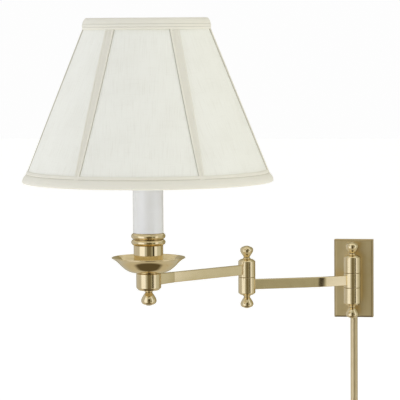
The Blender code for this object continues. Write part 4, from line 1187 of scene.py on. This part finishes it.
class SCONCE_OT_shade_linen(bpy.types.Operator):
    """The six linen panels of the shade and the styrene cone behind them"""
    bl_idname = "sconce.shade_linen"
    bl_label = "Shade linen"

    def execute(self, context):
        shade = context.scene.sconce_shade
        half = TURN / shade.panels / 2
        margin = 1.0 * MM
        low, high = SHADE_LOW + margin, SHADE_HIGH - margin
        for number in range(shade.panels):
            seed = Vector((number * 7.3, 1.9, 0.4))

            def panel(across, up, seed=seed):
                """The linen lies on the cone with a soft unevenness of its own."""
                height = low + (high - low) * up
                turn = (across - 0.5) * 2 * half
                out = cone_radius(height)
                spot = Vector((turn * out, height, 0.0)) * 26.0 + seed
                calm = math.sin(math.pi * up) ** 0.5 * math.sin(math.pi * across) ** 0.5
                return turn, height, 0.22 * MM * noise.noise(spot) * calm, 0.0
            piece = sheet_on_cone("linen_panel_%d" % (number + 1), 28, 44, panel, shade.cloth,
                                  rib_turn(number) + half)
            settle(piece, linen(), "near_arm", "shade_linen", "shade_cover")
            slant = math.hypot(shade.low_radius - shade.high_radius, high - low)
            chord = 2 * cone_radius(low) / cone_steepness() * math.sin(half * cone_steepness())
            area = half * (cone_radius(low) + cone_radius(high)) * slant
        behind = shade.cloth + 0.25 * MM
        sheet = 0.5 * MM
        skin = [(cone_radius(low) - behind - sheet, low), (cone_radius(low) - behind, low),
                (cone_radius(high) - behind, high), (cone_radius(high) - behind - sheet, high)]
        cone = lathe("shade_styrene_cone", skin, stand(HEAD), 144, closed=True)
        settle(cone, styrene(), "near_arm", "shade_styrene", "shade_lining")
        return {"FINISHED"}


class SCONCE_OT_rib_tapes(bpy.types.Operator):
    """The six folded tapes that cover the seams between the panels"""
    bl_idname = "sconce.rib_tapes"
    bl_label = "Rib tapes"

    def execute(self, context):
        shade = context.scene.sconce_shade
        low = SHADE_LOW + shade.trim_height * 0.6
        high = SHADE_HIGH - shade.trim_height * 0.55
        for number in range(shade.panels):
            def tape(across, up):
                """A strip with a pressed middle, a rolled fold along each edge and a painted shadow line at its
                foot.
                """
                height = low + (high - low) * up
                width = shade.tape_high - (shade.tape_high - shade.tape_low) * (1 - up) ** 2.4
                side = 2 * across - 1
                edge = max(0.0, 1 - abs(side)) * width / 2
                roll = math.sin(math.pi * min(1.0, edge / (2.4 * MM))) ** 0.6
                rise = shade.tape_rise * min(1.0, edge / (0.5 * MM)) + 0.75 * MM * roll
                pleat = 0.5 * MM * max(0.0, up - 0.86) / 0.14 * math.cos(side * 8.0)
                # Painted shade: a dark shadow line along both edges and a darker middle; the rolls are not
                # darkened.
                mark = -1.0 if edge < 0.35 * MM else -0.30 if edge > 2.4 * MM else 0.25
                return side * width / 2 / cone_radius(height), height, rise + pleat * (1 - abs(side)), mark
            piece = sheet_on_cone("rib_tape_%d" % (number + 1), 40, 60, tape, 0.05 * MM, rib_turn(number))
            settle(piece, trim_cloth(), "near_arm", "shade_trim", "shade_cover")
        return {"FINISHED"}


def band_shape(points, edge, way):
    """A wrapped edge's profile: each point's distance off the linen and inwards from the shade's edge."""
    shape = []
    for out, along in points:
        height = edge + way * along * MM
        shape.append((cone_radius(height) + out * MM, height))
    curve = flowing(shape, 5, closed=True)
    return curve if way > 0 else list(reversed(curve))


class SCONCE_OT_edge_trims(bpy.types.Operator):
    """The wrapped edges: a lip and a fat roll round the bottom, and a layered band round the top"""
    bl_idname = "sconce.edge_trims"
    bl_label = "Edge trims"

    def execute(self, context):
        bottom = [(-1.4, 10.5), (-2.2, 6.5), (-2.0, 1.8), (-0.8, 0.2), (1.2, 0.3), (2.8, 1.6), (3.5, 4.0),
                  (3.4, 6.6), (2.6, 9.0), (1.5, 10.5), (1.0, 11.0), (1.7, 11.5), (2.1, 12.8), (1.9, 14.3),
                  (1.0, 15.1), (-0.2, 14.8), (-0.9, 13.0)]
        top = [(-1.4, 10.0), (-2.2, 6.0), (-1.2, 1.0), (0.6, 0.0), (2.9, 0.1), (4.3, 1.6), (4.75, 4.2),
               (4.55, 6.6), (4.15, 7.3), (4.3, 8.3), (3.7, 10.2), (3.1, 10.8), (2.95, 11.8), (1.9, 13.4),
               (0.8, 14.1), (-0.2, 13.8), (-0.9, 12.2)]
        rows = (("edge_roll_bottom", bottom, low_of("shade_trim_bottom").z, 1, "shade_trim_bottom"),
                ("edge_band_top", top, high_of("shade_trim_top").z, -1, "shade_trim_top"))
        for name, points, edge, way, node in rows:
            shape = band_shape(points, edge - NEAR_LEVEL, way)
            # The profiles' hollows carry negative marks, which the trim cloth turns into painted shade.
            trim = lathe(name, shape, stand(HEAD), 160, closed=True, sharp=60.0)
            settle(trim, trim_cloth(), "near_arm", "shade_trim", node)
        return {"FINISHED"}


class SCONCE_OT_shade_frame(bpy.types.Operator):
    """The shade's wire rings and ribs, its three-armed fitter and the ring that clamps it"""
    bl_idname = "sconce.shade_frame"
    bl_label = "Shade frame"

    def execute(self, context):
        shade = context.scene.sconce_shade
        thin = 1.4 * MM
        behind = 2.2 * MM + thin

        def on_ring(height, count):
            out = cone_radius(height) - behind
            return [(out * math.cos(TURN * k / count), out * math.sin(TURN * k / count), height)
                    for k in range(count)]
        low, high = SHADE_LOW + 5 * MM, SHADE_HIGH - 6 * MM
        for name, height in (("frame_ring_bottom", low), ("frame_ring_top", high)):
            ring = wire(name, on_ring(height, 120), thin, stand(HEAD), cyclic=True)
            settle(ring, white_enamel(), "near_arm", "white_steel", "shade_frame")
        for number in range(shade.panels):
            ends = [(cone_radius(height) - behind, 0.0, height) for height in (low, high)]
            rib = wire("frame_rib_%d" % (number + 1), ends, thin * 0.8, stand(HEAD, rib_turn(number)))
            settle(rib, white_enamel(), "near_arm", "white_steel", "shade_frame")

        ring_low = base_of("shade_fitter")
        clamp_low = base_of("fitter_clamp_ring")
        bore = context.scene.sconce_sizes.socket_radius + 0.3 * MM
        hoop = [(bore, ring_low), (19 * MM, ring_low), (19 * MM, ring_low + 4 * MM),
                (bore, ring_low + 4 * MM)]
        ring = lathe("fitter_ring", eased(hoop, 0.5 * MM, 4, closed=True), stand(HEAD), 72, closed=True)
        settle(ring, white_enamel(), "near_arm", "white_steel", "shade_fitter")
        clamp_high = top_of("fitter_clamp_ring")
        hoop = [(bore, clamp_low), (19.6 * MM, clamp_low), (19.6 * MM, clamp_high), (bore, clamp_high)]
        clamp = lathe("clamp_ring", eased(hoop, 0.6 * MM, 4, closed=True), stand(HEAD), 72, closed=True)
        settle(clamp, phenolic(), "near_arm", "phenolic", "fitter_clamp_ring")
        meet = cone_radius(high) - behind - thin * 1.6
        middle = ring_low + 2 * MM
        knots = [(17.8 * MM, 0.0, middle), (27 * MM, 0.0, middle + 0.3 * MM), (33 * MM, 0.0, middle + 4 * MM),
                 (meet - 3 * MM, 0.0, high - 30 * MM), (meet - 1 * MM, 0.0, high - 8 * MM), (meet, 0.0, high)]
        for number in range(3):
            at = stand(HEAD, rib_turn(2 * number))
            arm = wire("fitter_arm_%d" % (number + 1), flowing(knots, 8), thin, at)
            settle(arm, white_enamel(), "near_arm", "white_steel", "shade_fitter")
        return {"FINISHED"}


# ---------------------------------------------------------------- cord cover and hidden parts

class SCONCE_OT_cord_cover(bpy.types.Operator):
    """The half-round brass channel that covers the cord down the wall"""
    bl_idname = "sconce.cord_cover"
    bl_label = "Cord cover"

    def execute(self, context):
        sizes = context.scene.sconce_sizes
        half, wall = sizes.cover_width / 2, 1.0 * MM
        centre = -(sizes.cover_depth - half)
        outer = [(half, 0.0)] + arc(0.0, centre, half, 0, -180, 36) + [(-half, 0.0)]
        inner = [(-half + wall, 0.0)] + arc(0.0, centre, half - wall, -180, 0, 36) + [(half - wall, 0.0)]
        outline = outer + inner
        low, high = low_of("cord_cover").z, high_of("cord_cover").z
        rings = [[(x, y, z) for x, y in outline] for z in (low, low + 30 * MM, high - 30 * MM, high)]
        cover = loft("cord_channel", rings, Matrix.Identity(4), sharp=40.0)
        settle(cover, brushed_upright_brass(), "wall_bracket", "satin_brass", "cord_cover")
        return {"FINISHED"}


class SCONCE_OT_hidden_parts(bpy.types.Operator):
    """Finishes the frame's own pieces that stay: screws, rods, nuts, bushes, leads, clips and the strap"""
    bl_idname = "sconce.hidden_parts"
    bl_label = "Hidden parts"

    def execute(self, context):
        slots = {part["node"]: part["material_slot"] for part in frame["record"]["subparts"]}
        for name, node in frame["nodes"].items():
            if node.hide_render:
                continue
            material = SLOT_MATERIALS[slots[name]]()
            if not node.material_slots:
                node.data.materials.append(material)
            for place in node.material_slots:
                place.material = material
        return {"FINISHED"}


# ---------------------------------------------------------------- stage

def light_box(name, at, target, size, power):
    """A soft square light that the brass doesn't mirror."""
    data = bpy.data.lights.new(name, "AREA")
    data.energy = power
    data.size = size
    lamp = bpy.data.objects.new(name, data)
    bpy.context.scene.collection.objects.link(lamp)
    lamp.location = at
    lamp.rotation_euler = (Vector(target) - Vector(at)).to_track_quat("-Z", "Y").to_euler()
    lamp.visible_glossy = False


def studio_room(stage):
    """The room that the brass mirrors: bright screens left and right of a dim warm middle, a dark gap beside
    the right one, a dim back, a warm ground and a pale ceiling."""
    world = bpy.data.worlds.new("studio_room")
    tree = Tree(world)
    direction = tree.node("ShaderNodeTexCoord", output="Generated")

    def along(way):
        """How far the direction points along a way, from 1 through 0 to -1."""
        return tree.node("ShaderNodeVectorMath", {"operation": "DOT_PRODUCT"}, {0: direction, 1: way},
                         output="Value")

    across = along((math.cos(stage.swing), math.sin(stage.swing), 0.0))
    towards = along((math.sin(stage.swing), -math.cos(stage.swing), 0.0))
    upwards = along((0.0, 0.0, 1.0))
    round_about = across.math("ARCTAN2", towards)
    height = upwards.math("ARCSINE")

    def patch(sides, ends):
        """A soft-edged patch of the room, by degrees round about and degrees of height."""
        return (round_about.hill(*(math.radians(turn) for turn in sides))
                * height.hill(*(math.radians(turn) for turn in ends)))

    def above(start, end):
        """How much of the room lies over a height, by the degrees where it starts and where it is whole."""
        return height.rise(math.radians(start), math.radians(end))

    screens = (-50, -38, 55, 68)
    middle = patch((-13, -5, 16, 26), (-16, -11, 3, 8))
    behind = (round_about.rise(math.radians(104), math.radians(128))
              + 1 - round_about.rise(math.radians(-172), math.radians(-140)))
    rear = (height.hill(*(math.radians(turn) for turn in (-30, -12, 36, 52))) * behind).math("MINIMUM", 1.0)
    layers = (
        (across.rise(0.88, 0.99), (0.64, 0.65, 0.62)),                                  # right wall
        (rear, (0.36, 0.33, 0.22)),                                                     # dim back of the room
        (1 - above(-48, -16), (0.60, 0.56, 0.47)),                                      # ground
        (above(48, 76), (1.0, 0.99, 0.96)),                                             # ceiling
        (patch((32, 36, 44, 49), (-20, -14, 6, 12)), (0.05, 0.04, 0.03)),               # gap by the screen
        (patch((-14, -7, 20, 30), (-62, -46, 30, 48)) * (1 - middle), (0.08, 0.06, 0.028)),  # dark middle
        (middle, (0.20, 0.175, 0.115)),                                                 # its paler waist
        (1 - above(-70, -58), (0.12, 0.095, 0.055)),                                    # under the sconce
        (patch((-76, -66, -31, -24), screens), (1.16, 1.21, 1.39)),                     # left screen
        (patch((48, 54, 67, 79), screens), (1.02, 1.05, 1.18)),                         # right screen
    )
    seen = tree.blend(across.rise(-0.8, 0.2), (0.60, 0.60, 0.62), (0.49, 0.49, 0.415))
    for amount, tint in layers:
        seen = tree.blend(amount, seen, tint)
    room = tree.node("ShaderNodeBackground", {}, {"Color": seen, "Strength": stage.room})
    paper = tree.node("ShaderNodeBackground", {}, {"Color": (0.985, 0.985, 0.985, 1.0), "Strength": 1.0})
    straight = tree.node("ShaderNodeLightPath", output="Is Camera Ray")
    both = tree.node("ShaderNodeMixShader", {}, {0: straight, 1: room, 2: paper})
    tree.node("ShaderNodeOutputWorld", {}, {"Surface": both})
    return world


def make_floor(stage):
    """A plain pale floor, well below the sconce."""
    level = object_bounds()[0].z - stage.floor_gap
    build = bmesh.new()
    bmesh.ops.create_grid(build, x_segments=2, y_segments=2, size=12.0)
    floor = new_piece("studio_floor", build, 30.0, Matrix.Translation((0.0, 0.0, level)))
    made, tree = new_material("floor_paper")
    if tree:
        grain = tree.noise(tree.place(), 30.0, 2.0)
        tree.surface(Base_Color=tree.blend(grain, (0.9, 0.9, 0.9), (0.88, 0.88, 0.88)), Roughness=0.9,
                     Emission_Color=(1.0, 1.0, 1.0), Emission_Strength=0.42)
    floor.data.materials.append(made)
    floor.visible_glossy = False
    floor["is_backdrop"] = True


class SCONCE_OT_stage(bpy.types.Operator):
    """The floor, the room, three soft lights and the camera"""
    bl_idname = "sconce.stage"
    bl_label = "Stage"

    def execute(self, context):
        stage = context.scene.sconce_stage
        make_floor(stage)
        context.scene.world = studio_room(stage)
        context.scene.view_settings.view_transform = "Standard"
        target = HEAD + Vector((0.05, 0.0, 0.1))
        light_box("key_light", target + Vector((-2.2, -0.8, -0.1)), target, 1.0, stage.key)
        light_box("fill_light", target + Vector((2.1, -0.7, 0.9)), target, 1.2, stage.fill)
        light_box("top_light", target + Vector((0.0, -0.3, 1.9)), target, 1.6, stage.top)

        data = bpy.data.cameras.new("camera")
        data.sensor_width = 36.0
        data.lens = stage.lens
        data.clip_start = 0.05
        data.clip_end = 100.0
        camera = bpy.data.objects.new("camera", data)
        context.scene.collection.objects.link(camera)
        a, p, r = stage.swing, stage.tilt, stage.roll
        forward = Vector((-math.sin(a) * math.cos(p), math.cos(a) * math.cos(p), -math.sin(p)))
        level = Vector((math.cos(a), math.sin(a), 0.0))
        upright = level.cross(forward)
        right = level * math.cos(r) + upright * math.sin(r)
        up = upright * math.cos(r) - level * math.sin(r)
        turn = Matrix((right, up, -forward)).transposed().to_4x4()
        camera.matrix_world = Matrix.Translation(stage.camera_at) @ turn
        context.scene.camera = camera
        return {"FINISHED"}


# ---------------------------------------------------------------- panel and start

OPERATORS = (SCONCE_OT_wall_plate, SCONCE_OT_knuckles, SCONCE_OT_finials, SCONCE_OT_arms, SCONCE_OT_hub,
             SCONCE_OT_pan, SCONCE_OT_candle, SCONCE_OT_lampholder, SCONCE_OT_bulb, SCONCE_OT_shade_linen,
             SCONCE_OT_rib_tapes, SCONCE_OT_edge_trims, SCONCE_OT_shade_frame, SCONCE_OT_cord_cover,
             SCONCE_OT_hidden_parts, SCONCE_OT_stage)


class SCONCE_PT_pieces(bpy.types.Panel):
    """Lists the sconce's pieces and its stage in the sidebar"""
    bl_idname = "SCONCE_PT_pieces"
    bl_label = "Swing arm wall sconce"
    bl_space_type = "VIEW_3D"
    bl_region_type = "UI"
    bl_category = "Sconce"

    def draw(self, context):
        for operator in OPERATORS:
            self.layout.operator(operator.bl_idname)


def register():
    for settings in SETTINGS.values():
        bpy.utils.register_class(settings)
    for name, settings in SETTINGS.items():
        setattr(bpy.types.Scene, name, bpy.props.PointerProperty(type=settings))
    for operator in OPERATORS:
        bpy.utils.register_class(operator)
    bpy.utils.register_class(SCONCE_PT_pieces)


def unregister():
    bpy.utils.unregister_class(SCONCE_PT_pieces)
    for operator in reversed(OPERATORS):
        bpy.utils.unregister_class(operator)
    for name in SETTINGS:
        delattr(bpy.types.Scene, name)
    for settings in reversed(SETTINGS.values()):
        bpy.utils.unregister_class(settings)


def main():
    register()
    for operator in OPERATORS:
        group, name = operator.bl_idname.split(".")
        getattr(getattr(bpy.ops, group), name)()


if __name__ == "__main__":
    main()
